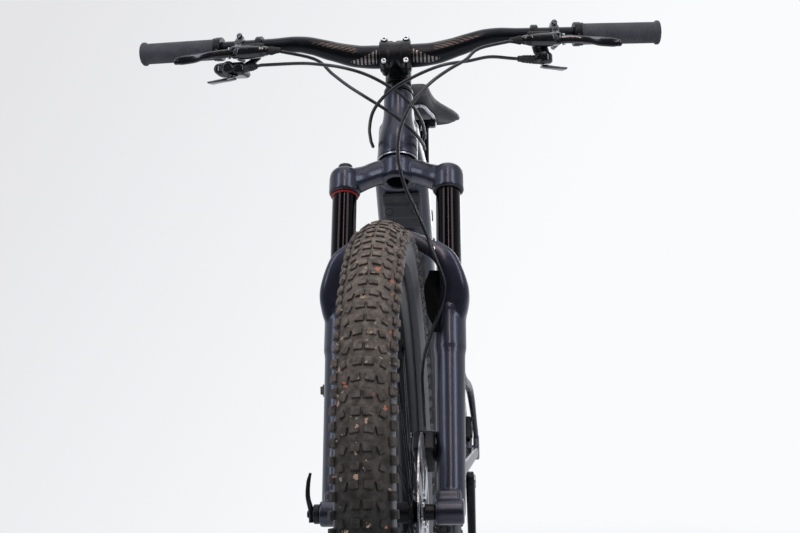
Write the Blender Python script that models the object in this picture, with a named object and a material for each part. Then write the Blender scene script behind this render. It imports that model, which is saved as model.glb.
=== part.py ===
"""Electric mountain bike: hardtail frame with a mid motor, suspension fork and dropper post.

The front points to -Y, the rider's left is +X and up is +Z. The origin is on the ground midway
between the two axles. Every piece is modelled in world metres and then hung on its pivot.
"""

from math import acos, atan2, ceil, cos, pi, radians, sin, tau

import bmesh
import bpy
from mathutils import Matrix, Vector

# Layout of the bike, seen from its side
WHEELBASE = 1.220
WHEEL_RADIUS = 0.372
HEAD_ANGLE = radians(66.75)
SEAT_ANGLE = radians(75.5)
FORK_OFFSET = 0.044
CROWN_TO_AXLE = 0.545
CRANK_HEIGHT = 0.345
CHAINSTAY = 0.460
GAP = 0.0003

# How far a cutter runs past the piece that it opens
PAST = 0.010
FAR_PAST = 0.200

# Head tube, headset and stem, as heights along the steering axis
HEAD_TUBE_LENGTH = 0.116
HEAD_TUBE_RADIUS_LOW = 0.0295
HEAD_TUBE_RADIUS_TOP = 0.0220
HEAD_TUBE_BORE = 0.0210
HEADSET_LOW_HEIGHT = 0.003
HEADSET_TOP_HEIGHT = 0.016
HEADSET_SEAT_DEPTH = 0.012
HEADSET_LIP = 0.0005
STEERER_RADIUS = 0.0143
STEERER_RADIUS_LOW = 0.0190
STEERER_TAPER = 0.050
STEERER_HOLE = 0.0160
STEERER_WALL = 0.0025
STEM_HEIGHT = 0.040
STEM_LENGTH = 0.0507
STEM_WALL = 0.0055
STEM_CLAMP_WIDTH = 0.047
FACEPLATE_BOLT_RISE = 0.0195
FACEPLATE_LUG_RADIUS = 0.0055

# Fork
STANCHION_RADIUS = 0.0175
STANCHION_SPACING = 0.1495
STANCHION_WALL = 0.002
LEG_OFFSET = 0.022
CROWN_SHOULDER_RADIUS = 0.0227
CROWN_SHOULDER_HEIGHT = 0.041
CROWN_SHOULDER_DROP = 0.023
CROWN_BOSS_RADIUS = 0.0285
CUP_LID = 0.010
CROWN_DEPTH = 0.034
FORK_TRAVEL = 0.130
STANCHION_SHOWN = 0.136
LEG_RADIUS_TOP = 0.0250
LEG_RADIUS_STEP = 0.0225
LEG_RADIUS_MID = 0.0208
LEG_RADIUS_LOW = 0.0184
LEG_STEP = 0.283
LEG_STEP_LOW = 0.230
ARCH_CLEARANCE = 0.007
ARCH_THICKNESS = 0.020
DROPOUT_RADIUS = 0.0165
AXLE_RADIUS = 0.0075
AXLE_HEAD = 0.0075
REAR_AXLE_HEAD = 0.0115
REAR_AXLE_SINK = 0.0045
AXLE_LEVER_THICKNESS = 0.0068
KNOB_RADIUS = 0.0105
KNOB_HEIGHT = 0.008

# Wheels
HUB_WIDTH_FRONT = 0.110
HUB_WIDTH_REAR = 0.148
TYRE_WIDTH = 0.073
TYRE_CASING = 0.033
KNOB_DEPTH = 0.004
KNOB_COUNT = 20
TYRE_WALL = 0.0035
RIM_RADIUS = 0.3175
RIM_DEPTH = 0.022
RIM_WIDTH = 0.036
HUB_FLANGE = 0.0285
HUB_BODY = 0.0135
HUB_CAP = 0.0105
HUB_CAP_LENGTH = 0.008
DRIVER_RADIUS = 0.0172
SPOKE_COUNT = 28
SPOKE_RADIUS = 0.0011
SPOKE_HOLES = 0.0225
SPOKE_LEAN = 0.24
ROTOR_RADIUS = 0.1015
ROTOR_BAND = 0.0150
ROTOR_THICKNESS = 0.0020
ROTOR_INSET = 0.0150
CALIPER_WIDTH = 0.0296
CALIPER_LENGTH = 0.056
CALIPER_BACK = 0.019
DROPOUT_THICKNESS = 0.012
HANGER_THICKNESS = 0.007

# Frame tubes, motor and battery
DOWN_TUBE_WIDTH = 0.082
DOWN_TUBE_DEPTH = 0.072
DOWN_TUBE_WIDTH_TOP = 0.058
DOWN_TUBE_DEPTH_TOP = 0.056
DOWN_TUBE_JOIN = 0.064
DOWN_TUBE_TAPER = 0.095
TOP_TUBE_WIDTH = 0.046
TOP_TUBE_DEPTH = 0.048
TOP_TUBE_JOIN = 0.084
SEAT_TUBE_RADIUS = 0.0190
SEAT_TUBE_LENGTH = 0.400
MOTOR_WIDTH = 0.094
MOTOR_RADIUS = 0.050
MOTOR_NOSE_RADIUS = 0.062
MOTOR_NOSE_FORWARD = 0.080
MOTOR_NOSE_RISE = 0.045
BATTERY_LENGTH = 0.340
BATTERY_WIDTH = 0.060
BATTERY_DEPTH = 0.051
BATTERY_RISE = 0.045
BUMPER_LENGTH = 0.060
BUMPER_THICKNESS = 0.006
BUMPER_WIDTH = 0.060
BUMPER_HEAD_CLEARANCE = 0.0184
BUMPER_SHARE = 0.365
BUMPER_HOLE_SPACING = 0.040
BUMPER_HOLE_RADIUS = 0.0055
BUMPER_HOLE_PLACE = 0.028

# Seat post and saddle, along the seat tube
POST_RADIUS = 0.0158
POST_COLLAR_RADIUS = 0.0185
POST_COLLAR_HEIGHT = 0.020
SEAT_CLAMP_WALL = 0.003
SEAT_CLAMP_HEIGHT = 0.011
SEAT_CLAMP_SLOT = 0.0016
POST_SHOWN = 0.070
POST_INSERTION = 0.270
DROPPER_RADIUS = 0.0125
DROPPER_TRAVEL = 0.150
SADDLE_LENGTH = 0.265
SADDLE_WIDTH = 0.142
SADDLE_TOP = 1.088
SADDLE_THICKNESS = 0.034
RAIL_RADIUS = 0.0035
RAIL_SPACING = 0.044

# Drive
CRANK_LENGTH = 0.170
CRANK_STANCE = 0.0870
CRANK_THICKNESS = 0.0165
SPINDLE_RADIUS = 0.0120
CHAINLINE = 0.0540
CHAIN_PITCH = 0.0127
CHAIN_WIDTH = 0.0054
CHAIN_HEIGHT = 0.0084
CHAIN_SAG = 0.0004
CHAINRING_TEETH = 34
COG_TEETH = 21
COG_THICKNESS = 0.0016
COG_SPACING = 0.0040
PULLEY_TEETH = 12
UPPER_PULLEY_BACK = 0.012
UPPER_PULLEY_DROP = 0.102
LOWER_PULLEY_AHEAD = 0.006
LOWER_PULLEY_DROP = 0.186
PEDAL_WIDTH = 0.094
PEDAL_LENGTH = 0.098
PEDAL_THICKNESS = 0.016
PEDAL_AXLE_RADIUS = 0.0070

# Handlebar and its controls
BAR_WIDTH = 0.790
BAR_RADIUS = 0.0175
BAR_END_RADIUS = 0.0111
BAR_RISE = 0.029
BAR_SWEEP = 0.040
BAR_BEND = 0.150
GRIP_LENGTH = 0.130
GRIP_RADIUS = 0.0158
GRIP_FLANGE = 0.0180
GRIP_START = BAR_WIDTH / 2 - GRIP_LENGTH
BRAKE_CLAMP_INSET = 0.029
SHIFT_CLAMP_INSET = 0.030
LEVER_HINGE_OUTSET = 0.008
BRAKE_CLAMP_PLACE = GRIP_START - BRAKE_CLAMP_INSET
SHIFT_CLAMP_PLACE = BRAKE_CLAMP_PLACE - SHIFT_CLAMP_INSET
LEVER_HINGE_PLACE = BRAKE_CLAMP_PLACE + LEVER_HINGE_OUTSET
CLAMP_WIDTH = 0.012
CLAMP_WALL = 0.004
HOSE_RADIUS = 0.0025
HOSE_STRAIGHT = 0.008

X, Y, Z = Vector((1, 0, 0)), Vector((0, 1, 0)), Vector((0, 0, 1))
FRONT_AXLE = Vector((0, -WHEELBASE / 2, WHEEL_RADIUS))
REAR_AXLE = Vector((0, WHEELBASE / 2, WHEEL_RADIUS))
CRANK = Vector((0, WHEELBASE / 2 - CHAINSTAY, CRANK_HEIGHT))

# The steering axis: its own z runs up it and its own y points back, square to it
STEER_UP = Vector((0, cos(HEAD_ANGLE), sin(HEAD_ANGLE)))
STEER_BACK = Vector((0, sin(HEAD_ANGLE), -cos(HEAD_ANGLE)))
STEER_FOOT = FRONT_AXLE + FORK_OFFSET * STEER_BACK
STEERING = Matrix.Translation(STEER_FOOT) @ Matrix.Rotation(HEAD_ANGLE - pi / 2, 4, "X")
HEAD_LOW = CROWN_TO_AXLE + HEADSET_LOW_HEIGHT
HEAD_TOP = HEAD_LOW + HEAD_TUBE_LENGTH
STEM_LOW = HEAD_TOP + HEADSET_TOP_HEIGHT
STEM_TOP = STEM_LOW + STEM_HEIGHT
BAR_CENTRE = STEERING @ Vector((0, -STEM_LENGTH, STEM_LOW + STEM_HEIGHT / 2))
LEG_X = STANCHION_SPACING / 2
CUP_TOP = CROWN_TO_AXLE - CROWN_SHOULDER_DROP
CROWN_LOW = CUP_TOP - CROWN_SHOULDER_HEIGHT
LEG_TOP = CROWN_LOW - STANCHION_SHOWN
AXLE_END = LEG_X + LEG_RADIUS_LOW - 0.001

# The seat tube stands on the motor, and its own z runs up it
SEAT_UP = Vector((0, cos(SEAT_ANGLE), sin(SEAT_ANGLE)))
SEAT_FOOT = CRANK + Vector((0, 0.008, MOTOR_RADIUS + 0.001))
SEATING = Matrix.Translation(SEAT_FOOT) @ Matrix.Rotation(SEAT_ANGLE - pi / 2, 4, "X")
POST_TOP = SEAT_TUBE_LENGTH + POST_SHOWN
RAIL_HEIGHT = SADDLE_TOP - SADDLE_THICKNESS - 0.020
RAIL_PLACE = (RAIL_HEIGHT - SEAT_FOOT.z) / SEAT_UP.z


def clear_scene():
    for old in list(bpy.data.objects):
        bpy.data.objects.remove(old)


def material(name, colour, roughness, metallic=0.0):
    """A plain finish; colour is the sRGB value seen on the real piece."""
    mat = bpy.data.materials.get(name)
    if mat:
        return mat
    mat = bpy.data.materials.new(name)
    mat.use_nodes = True
    surface = mat.node_tree.nodes["Principled BSDF"]
    linear = [((c + 0.055) / 1.055) ** 2.4 if c > 0.04 else c / 12.92 for c in colour]
    surface.inputs["Base Color"].default_value = (*linear, 1)
    surface.inputs["Roughness"].default_value = roughness
    surface.inputs["Metallic"].default_value = metallic
    return mat


def painted():
    return material("satin_dark_paint", (0.16, 0.16, 0.19), 0.35, 0.3)


def black_alloy():
    return material("black_anodised_alloy", (0.06, 0.06, 0.065), 0.4, 0.8)


def gloss_black():
    return material("gloss_black_alloy", (0.02, 0.02, 0.02), 0.12, 0.9)


def steel():
    return material("bright_steel", (0.60, 0.60, 0.61), 0.3, 1.0)


def plastic():
    return material("black_plastic", (0.05, 0.05, 0.05), 0.5)


def rubber():
    return material("black_rubber", (0.09, 0.085, 0.08), 0.85)


def pivot(name, place, parent=None, turn=None):
    """An empty on a joint's axis, which carries the pieces of one moving body."""
    empty = bpy.data.objects.new(name, None)
    empty.empty_display_size = 0.05
    bpy.context.collection.objects.link(empty)
    matrix = Matrix.Translation(place) @ (turn or Matrix.Identity(4))
    if parent:
        empty.parent = parent
        empty.matrix_parent_inverse = parent.matrix_world.inverted()
    empty.matrix_world = matrix
    bpy.context.view_layer.update()
    return empty


def add(name, bm, mat, parent=None, smooth=40):
    """Turns a bmesh in world metres into a named object, hung on its pivot."""
    if parent:
        bm.transform(parent.matrix_world.inverted())
    mesh = bpy.data.meshes.new(name)
    bm.to_mesh(mesh)
    bm.free()
    mesh.materials.append(mat)
    mesh.shade_smooth()
    mesh.set_sharp_from_angle(angle=radians(smooth))
    piece = bpy.data.objects.new(name, mesh)
    piece.parent = parent
    bpy.context.collection.objects.link(piece)
    return piece


def shape(piece, operation, *tools):
    """Cuts tools from a piece, or joins them to it; each tool is a bmesh in world metres."""
    for bm in tools:
        label = f"{piece.name}_{operation.lower()}_{len(piece.modifiers)}"
        tool = add(label, bm, painted(), piece.parent)
        tool.hide_render = True
        tool.display_type = "WIRE"
        step = piece.modifiers.new(label, "BOOLEAN")
        step.operation = operation
        step.object = tool
    return piece


def cut(piece, *tools):
    return shape(piece, "DIFFERENCE", *tools)


def join(piece, *tools):
    return shape(piece, "UNION", *tools)


def placed(bm, matrix):
    bm.transform(matrix)
    if matrix.determinant() < 0:
        bmesh.ops.reverse_faces(bm, faces=bm.faces)
    return bm


def frame_on(origin, axis, side=X):
    """A matrix whose z lies along axis and whose x lies near side."""
    along = Vector(axis).normalized()
    back = along.cross(side).normalized()
    across = back.cross(along)
    turn = Matrix((across, back, along)).transposed().to_4x4()
    return Matrix.Translation(origin) @ turn


def turned(profile, steps=16, matrix=Matrix.Identity(4)):
    """Spins a profile of (radius, height) round z; an open one starts and ends on the axis."""
    bm = bmesh.new()
    ring = [bm.verts.new((r, 0, h)) for r, h in profile]
    solid = profile[0][0] == 0
    pairs = list(zip(ring, ring[1:])) + ([] if solid else [(ring[-1], ring[0])])
    edges = [bm.edges.new(pair) for pair in pairs]
    bmesh.ops.spin(bm, geom=ring + edges, axis=(0, 0, 1), angle=tau, steps=steps, use_merge=True)
    bmesh.ops.remove_doubles(bm, verts=bm.verts, dist=1e-6)
    bmesh.ops.recalc_face_normals(bm, faces=bm.faces)
    return placed(bm, matrix)


def rod(start, end, radius, steps=16, end_radius=None):
    """A round bar between two points, tapered where the end has its own radius."""
    start, end = Vector(start), Vector(end)
    length = (end - start).length
    tip = radius if end_radius is None else end_radius
    side = Y if abs((end - start).normalized().x) > 0.9 else X
    profile = ((0, 0), (radius, 0), (tip, length), (0, length))
    return turned(profile, steps, frame_on(start, end - start, side))


def block(near, far, matrix=Matrix.Identity(4), bevel=0.0):
    """A box between two corners, its edges rounded by bevel."""
    low = Vector([min(pair) for pair in zip(near, far)])
    high = Vector([max(pair) for pair in zip(near, far)])
    bm = bmesh.new()
    size = high - low
    scale = Matrix.Diagonal((size.x, size.y, size.z, 1))
    bmesh.ops.create_cube(bm, size=1, matrix=Matrix.Translation((low + high) / 2) @ scale)
    if bevel:
        bmesh.ops.bevel(bm, geom=bm.edges[:], offset=bevel, segments=1, profile=0.5, affect="EDGES")
    return placed(bm, matrix)


def plate(outline, low, high, bevel=0.0):
    """A side-view outline of (y, z) points, thick from x = low to x = high."""
    bm = bmesh.new()
    face = bm.faces.new([bm.verts.new((low, y, z)) for y, z in outline])
    grown = bmesh.ops.extrude_face_region(bm, geom=[face])["geom"]
    moved = [v for v in grown if isinstance(v, bmesh.types.BMVert)]
    bmesh.ops.translate(bm, verts=moved, vec=(high - low, 0, 0))
    bmesh.ops.recalc_face_normals(bm, faces=bm.faces)
    if bevel:
        rim = [e for e in bm.edges if abs(e.verts[0].co.x - e.verts[1].co.x) < 1e-6]
        bmesh.ops.bevel(bm, geom=rim, offset=bevel, segments=1, profile=0.5, affect="EDGES")
    return bm


def oval(matrix, half_x, half_y, points=16, power=2.0):
    """A ring of points on a rounded outline; power 2 is an ellipse and more is squarer."""
    ring = []
    for i in range(points):
        angle = tau * (i + 0.5) / points
        c, s = cos(angle), sin(angle)
        x = half_x * abs(c) ** (2 / power) * (1 if c > 0 else -1)
        y = half_y * abs(s) ** (2 / power) * (1 if s > 0 else -1)
        ring.append(matrix @ Vector((x, y, 0)))
    return ring


def skin_between(bm, rings):
    """Adds a closed skin through rings with the same count of points."""
    loops = []
    for ring in rings:
        verts = [bm.verts.new(point) for point in ring]
        loops.append([bm.edges.new((verts[i - 1], verts[i])) for i in range(len(verts))])
    for near, far in zip(loops, loops[1:]):
        bmesh.ops.bridge_loops(bm, edges=near + far)
    for loop in (loops[0], loops[-1]):
        bmesh.ops.contextual_create(bm, geom=loop)


def bore_for(radius, steps):
    """The radius of a faceted bore whose flats clear a round shaft by the gap, however it turns."""
    return (radius + GAP) / cos(pi / steps)


def lofted(rings):
    bm = bmesh.new()
    skin_between(bm, rings)
    bmesh.ops.recalc_face_normals(bm, faces=bm.faces)
    return bm


def smooth_path(points, count):
    """Evenly many points on a Catmull-Rom curve through the given points."""
    points = [Vector(p) for p in points]
    padded = [2 * points[0] - points[1]] + points + [2 * points[-1] - points[-2]]
    path = []
    for i in range(count):
        place = i * (len(points) - 1) / (count - 1)
        k = min(int(place), len(points) - 2)
        t = place - k
        a, b, c, d = padded[k : k + 4]
        path.append(0.5 * (2 * b + (c - a) * t + (2 * a - 5 * b + 4 * c - d) * t**2
                           + (3 * b - a - 3 * c + d) * t**3))
    return path


def swept(path, sizes, points=12, power=2.0, side=X):
    """A skin along a path; sizes holds (half width, half depth) at each of its points."""
    rings = []
    for i, centre in enumerate(path):
        ahead = path[min(i + 1, len(path) - 1)] - path[max(i - 1, 0)]
        rings.append(oval(frame_on(centre, ahead, side), *sizes[i], points, power))
    return lofted(rings)


def between(low, high, share):
    return low + (high - low) * share


def tangent_points(a, b, side_a, side_b):
    """Where a strap leaves circle a and meets circle b; a side is 1 or -1 for its turning sense."""
    (ca, ra), (cb, rb) = a, b
    gap = cb - ca
    lean = acos((side_a * ra - side_b * rb) / gap.length)
    angle = atan2(gap.y, gap.x) - lean
    out = Vector((cos(angle), sin(angle)))
    return ca + out * ra * side_a, cb + out * rb * side_b


def strap(circles, sides, sag):
    """A closed line of (y, z) points round circles, as a chain runs; sides are turning senses.

    Its straight stretches cut no deeper than sag into the true arc."""
    count = len(circles)
    hits = [tangent_points(circles[i], circles[(i + 1) % count], sides[i], sides[(i + 1) % count])
            for i in range(count)]
    line = []
    for i, (centre, radius) in enumerate(circles):
        first = hits[i - 1][1] - centre
        last = hits[i][0] - centre
        start = atan2(first.y, first.x)
        sweep = (atan2(last.y, last.x) - start) * sides[i] % tau * sides[i]
        parts = max(2, ceil(abs(sweep) / (2 * acos(1 - sag / radius))))
        for j in range(parts + 1):
            angle = start + sweep * j / parts
            line.append(centre + radius * Vector((cos(angle), sin(angle))))
    return line


def head_tube_skin(grow=0.0):
    """The outside of the head tube, or a cutter a little larger than it."""
    low, top = HEAD_TUBE_RADIUS_LOW + grow, HEAD_TUBE_RADIUS_TOP + grow
    length = HEAD_TUBE_LENGTH
    waist = length * 0.27
    profile = ((0, -grow), (low, -grow), (low, waist), (top, length * 0.68), (top, length + grow),
               (0, length + grow))
    return turned(profile, 16, STEERING @ Matrix.Translation((0, 0, HEAD_LOW)))


def headset_room():
    """A cutter that keeps the down tube clear of the lower bearing cover."""
    radius = HEAD_TUBE_RADIUS_LOW + HEADSET_LIP + GAP
    low = -HEADSET_LOW_HEIGHT - CROWN_DEPTH
    profile = ((0, low), (radius, low), (radius, 0), (0, 0))
    return turned(profile, 16, STEERING @ Matrix.Translation((0, 0, HEAD_LOW)))


# The down tube's own z runs from the head tube to the motor, and its own y points forward
DOWN_TUBE_START = STEERING @ Vector((0, 0, HEAD_LOW + DOWN_TUBE_JOIN))
MOTOR_NOSE = CRANK + Vector((0, -MOTOR_NOSE_FORWARD, MOTOR_NOSE_RISE))
DOWN_TUBE_REACH = (MOTOR_NOSE - DOWN_TUBE_START).length
DOWN_TUBE = frame_on(DOWN_TUBE_START, MOTOR_NOSE - DOWN_TUBE_START)
BATTERY_START = DOWN_TUBE_REACH - MOTOR_NOSE_RADIUS - BATTERY_RISE - BATTERY_LENGTH


def down_tube_skin(grow=0.0):
    rings = []
    for height, share in ((0.0, 0.0), (DOWN_TUBE_TAPER / 3, 0.25), (DOWN_TUBE_TAPER, 1.0),
                          (DOWN_TUBE_REACH, 1.0)):
        half_x = between(DOWN_TUBE_WIDTH_TOP, DOWN_TUBE_WIDTH, share) / 2 + grow
        half_y = between(DOWN_TUBE_DEPTH_TOP, DOWN_TUBE_DEPTH, share) / 2 + grow
        rings.append(oval(DOWN_TUBE @ Matrix.Translation((0, 0, height)), half_x, half_y, 20, 3.4))
    return lofted(rings)


def motor_outline(grow=0.0):
    circles = [(Vector((CRANK.y, CRANK.z)), MOTOR_RADIUS + grow),
               (Vector((MOTOR_NOSE.y, MOTOR_NOSE.z)), MOTOR_NOSE_RADIUS + grow)]
    return [tuple(point) for point in strap(circles, (1, 1), 0.0006)]


def motor_skin(grow=0.0, bevel=0.0):
    half = MOTOR_WIDTH / 2 + grow
    return plate(motor_outline(grow), -half, half, bevel)


def seat_tube_skin(grow=0.0):
    radius = SEAT_TUBE_RADIUS + grow
    profile = ((0, -0.04), (radius, -0.04), (radius, SEAT_TUBE_LENGTH), (0, SEAT_TUBE_LENGTH))
    return turned(profile, 16, SEATING)


TOP_TUBE_START = STEERING @ Vector((0, 0, HEAD_LOW + TOP_TUBE_JOIN))
TOP_TUBE_END = SEATING @ Vector((0, 0, SEAT_TUBE_LENGTH - 0.030))


def make_frame():
    """Welded alloy tubes; each is mitred round the one it is welded to."""
    seat_low, seat_top = HEAD_TUBE_BORE, STEERER_RADIUS + 0.0035
    bore = ((0, -PAST), (seat_low, -PAST), (seat_low, 0.045), (seat_top, 0.070),
            (seat_top, HEAD_TUBE_LENGTH - HEADSET_SEAT_DEPTH),
            (seat_top, HEAD_TUBE_LENGTH + PAST), (0, HEAD_TUBE_LENGTH + PAST))
    head = add("head_tube", head_tube_skin(), painted())
    cut(head, turned(bore, 16, STEERING @ Matrix.Translation((0, 0, HEAD_LOW))))

    down = add("down_tube", down_tube_skin(), painted())
    cut(down, head_tube_skin(GAP), headset_room(), motor_skin(GAP))
    front = DOWN_TUBE_DEPTH / 2
    room = Vector((BATTERY_WIDTH / 2 + GAP, front + PAST, BATTERY_START + BATTERY_LENGTH + GAP))
    floor = front - BATTERY_DEPTH - GAP
    cut(down, block((-room.x, floor, BATTERY_START - GAP), room, DOWN_TUBE))

    top_axis = TOP_TUBE_END - TOP_TUBE_START
    top = frame_on(TOP_TUBE_START, top_axis)
    rings = []
    for share, width, depth in ((0.0, 1.0, 1.0), (0.5, 0.92, 0.86), (1.0, 0.72, 0.74)):
        here = top @ Matrix.Translation((0, 0, top_axis.length * share))
        rings.append(oval(here, TOP_TUBE_WIDTH / 2 * width, TOP_TUBE_DEPTH / 2 * depth, 16, 2.6))
    tube = add("top_tube", lofted(rings), painted())
    cut(tube, head_tube_skin(GAP), down_tube_skin(GAP), seat_tube_skin(GAP))

    seat = add("seat_tube", seat_tube_skin(), painted())
    cut(seat, motor_skin(GAP))
    bore = POST_RADIUS + GAP
    cut(seat, rod(SEATING @ Vector((0, 0, 0.03)), SEATING @ Vector((0, 0, SEAT_TUBE_LENGTH + PAST)),
                  bore, 16))


def make_motor_and_battery():
    """The drive unit carries the crank spindle; the battery's outer side closes the down tube."""
    motor = add("motor_unit", motor_skin(0, 0.006), plastic())
    cut(motor, rod(CRANK - FAR_PAST * X, CRANK + FAR_PAST * X, bore_for(SPINDLE_RADIUS, 16), 16))

    front = DOWN_TUBE_DEPTH / 2
    half = BATTERY_WIDTH / 2
    end = BATTERY_START + BATTERY_LENGTH
    battery = block((-half, front - BATTERY_DEPTH, BATTERY_START), (half, front, end), DOWN_TUBE, 0.004)
    add("battery", battery, plastic())

    low = BUMPER_HEAD_CLEARANCE + BATTERY_START * BUMPER_SHARE
    skin = front + GAP
    half = BUMPER_WIDTH / 2
    bumper = block((-half, skin, low), (half, skin + BUMPER_THICKNESS, low + BUMPER_LENGTH),
                   DOWN_TUBE, 0.0025)
    bumper = add("downtube_bumper", bumper, rubber())
    forward = DOWN_TUBE.col[1].to_3d()
    for side in (-1, 1):
        place = (side * BUMPER_HOLE_SPACING / 2, skin + BUMPER_THICKNESS / 2, low + BUMPER_HOLE_PLACE)
        hole = DOWN_TUBE @ Vector(place)
        cut(bumper, rod(hole, hole + forward * PAST, BUMPER_HOLE_RADIUS, 16))


def caliper_frame(axle, angle):
    """Its y points outward from the axle and its z runs along the disc's edge."""
    out = Vector((0, cos(angle), sin(angle)))
    along = X.cross(out)
    turn = Matrix((X, out, along)).transposed().to_4x4()
    return Matrix.Translation(axle + out * (ROTOR_RADIUS - 0.004)) @ turn


FRONT_CALIPER = caliper_frame(FRONT_AXLE, radians(48))
REAR_CALIPER = caliper_frame(REAR_AXLE, radians(152))
ROTOR_X_FRONT = HUB_WIDTH_FRONT / 2 - ROTOR_INSET
ROTOR_X_REAR = HUB_WIDTH_REAR / 2 - ROTOR_INSET


def stay(points, sizes):
    path = smooth_path(points, len(points) + 2)
    spans = len(sizes) - 1
    fitted = []
    for i in range(len(path)):
        place = i * spans / (len(path) - 1)
        k = min(int(place), spans - 1)
        fitted.append([between(sizes[k][j], sizes[k + 1][j], place - k) for j in (0, 1)])
    return swept(path, fitted, 8, 2.6)


# The left and right dropouts' outline, as distances behind and above the axle
DROPOUT_OUTLINE = ((-0.030, -0.012), (-0.004, -0.021), (0.014, -0.017), (0.021, 0.0),
                   (0.013, 0.026), (-0.012, 0.034), (-0.026, 0.030), (-0.034, 0.010))


def make_rear_triangle():
    """Chainstays with their yoke and dropouts in one weldment, and the seatstays above them."""
    hub = HUB_WIDTH_REAR / 2 + GAP
    behind = CRANK.y + MOTOR_RADIUS
    yoke = block((-0.038, behind - 0.020, CRANK.z - 0.020), (0.038, behind + 0.018, CRANK.z + 0.030),
                 bevel=0.005)
    stays = add("chainstays", yoke, painted())
    route = [(0.031, behind, 0.350), (0.036, behind + 0.022, 0.351), (0.0475, behind + 0.055, 0.352),
             (0.060, behind + 0.130, 0.356), (0.074, REAR_AXLE.y - 0.080, 0.366),
             (hub + 0.006, REAR_AXLE.y - 0.016, 0.371)]
    girth = [(0.0065, 0.020), (0.0068, 0.019), (0.0075, 0.017), (0.0085, 0.014), (0.0080, 0.012),
             (0.0055, 0.012)]
    for side in (-1, 1):
        points = [(side * x, y, z) for x, y, z in route]
        outline = [(REAR_AXLE.y + back, REAR_AXLE.z + rise) for back, rise in DROPOUT_OUTLINE]
        ends = sorted((side * hub, side * (hub + DROPOUT_THICKNESS)))
        join(stays, stay(points, girth), plate(outline, *ends, 0.002))
    corners = ((-0.010, -0.012), (0.012, -0.012), (0.018, -0.032), (0.010, -0.044), (-0.004, -0.042))
    hanger = [(REAR_AXLE.y + y, REAR_AXLE.z + z) for y, z in corners]
    post = block((ROTOR_X_REAR + 0.0035, -0.012, CALIPER_LENGTH / 2 + GAP),
                 (ROTOR_X_REAR + CALIPER_WIDTH / 2, 0.012, CALIPER_LENGTH / 2 + 0.020), REAR_CALIPER, 0.002)
    join(stays, plate(hanger, -hub - HANGER_THICKNESS, -hub), post)
    cut(stays, motor_skin(GAP))
    cut(stays, rod(REAR_AXLE - FAR_PAST * X, REAR_AXLE + FAR_PAST * X, AXLE_RADIUS + GAP, 16))
    out = hub + DROPOUT_THICKNESS - GAP
    seat = hub + DROPOUT_THICKNESS - REAR_AXLE_SINK
    middle = Vector((0, REAR_AXLE.y, REAR_AXLE.z))
    cut(stays, rod(middle + seat * X, middle + (out + PAST) * X, REAR_AXLE_HEAD + GAP, 16))
    head = ((0, -out), (AXLE_RADIUS, -out), (AXLE_RADIUS, seat + GAP), (REAR_AXLE_HEAD, seat + GAP),
            (REAR_AXLE_HEAD, out), (0, out))
    add("rear_axle", turned(head, 16, frame_on(REAR_AXLE, X, Y)), black_alloy())

    top = SEATING @ Vector((0, 0, SEAT_TUBE_LENGTH - 0.060))
    route = [(0.004, top.y, top.z), (0.018, top.y + 0.034, top.z - 0.014),
             (0.047, top.y + 0.090, top.z - 0.085), (0.060, top.y + 0.160, top.z - 0.190),
             (0.072, REAR_AXLE.y - 0.090, 0.500), (hub + 0.006, REAR_AXLE.y - 0.020, 0.4065)]
    girth = [(0.010, 0.012), (0.011, 0.012), (0.0085, 0.010), (0.008, 0.009), (0.0075, 0.009),
             (0.0055, 0.010)]
    stays_up = [stay([(side * x, y, z) for x, y, z in route], girth) for side in (-1, 1)]
    seatstays = add("seatstays", stays_up[0], painted())
    bridge = top + Vector((0, 0.058, -0.042))
    join(seatstays, stays_up[1], rod(bridge - 0.030 * X, bridge + 0.030 * X, 0.0085, 12))
    cut(seatstays, seat_tube_skin(GAP))
    dropout_top = max(rise for _, rise in DROPOUT_OUTLINE)
    floor = REAR_AXLE + Vector((0, 0, dropout_top + GAP))
    under = Vector((FAR_PAST, FAR_PAST, 0))
    cut(seatstays, block(floor - under - 0.08 * Z, floor + under))


def make_headset():
    """Two bearing covers with a spigot each, which centre the steerer in the head tube."""
    low = STEERING @ Matrix.Translation((0, 0, HEAD_LOW))
    bore = bore_for(STEERER_RADIUS_LOW, 16)
    lip, spigot = HEAD_TUBE_RADIUS_LOW + HEADSET_LIP, HEAD_TUBE_BORE - GAP
    ring = ((bore, GAP - HEADSET_LOW_HEIGHT), (lip, GAP - HEADSET_LOW_HEIGHT), (lip, -GAP),
            (spigot, -GAP), (spigot, HEADSET_SEAT_DEPTH), (bore, HEADSET_SEAT_DEPTH))
    add("headset_lower", turned(ring, 16, low), steel())
    top = STEERING @ Matrix.Translation((0, 0, HEAD_TOP))
    bore = bore_for(STEERER_RADIUS, 16)
    spigot = STEERER_RADIUS + 0.0035 - GAP
    high = HEADSET_TOP_HEIGHT - GAP
    ring = ((bore, -HEADSET_SEAT_DEPTH), (spigot, -HEADSET_SEAT_DEPTH), (spigot, GAP),
            (HEAD_TUBE_RADIUS_TOP, GAP), (HEAD_TUBE_RADIUS_TOP, high * 0.4), (spigot, high), (bore, high))
    add("headset_upper", turned(ring, 16, top), black_alloy())


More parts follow.
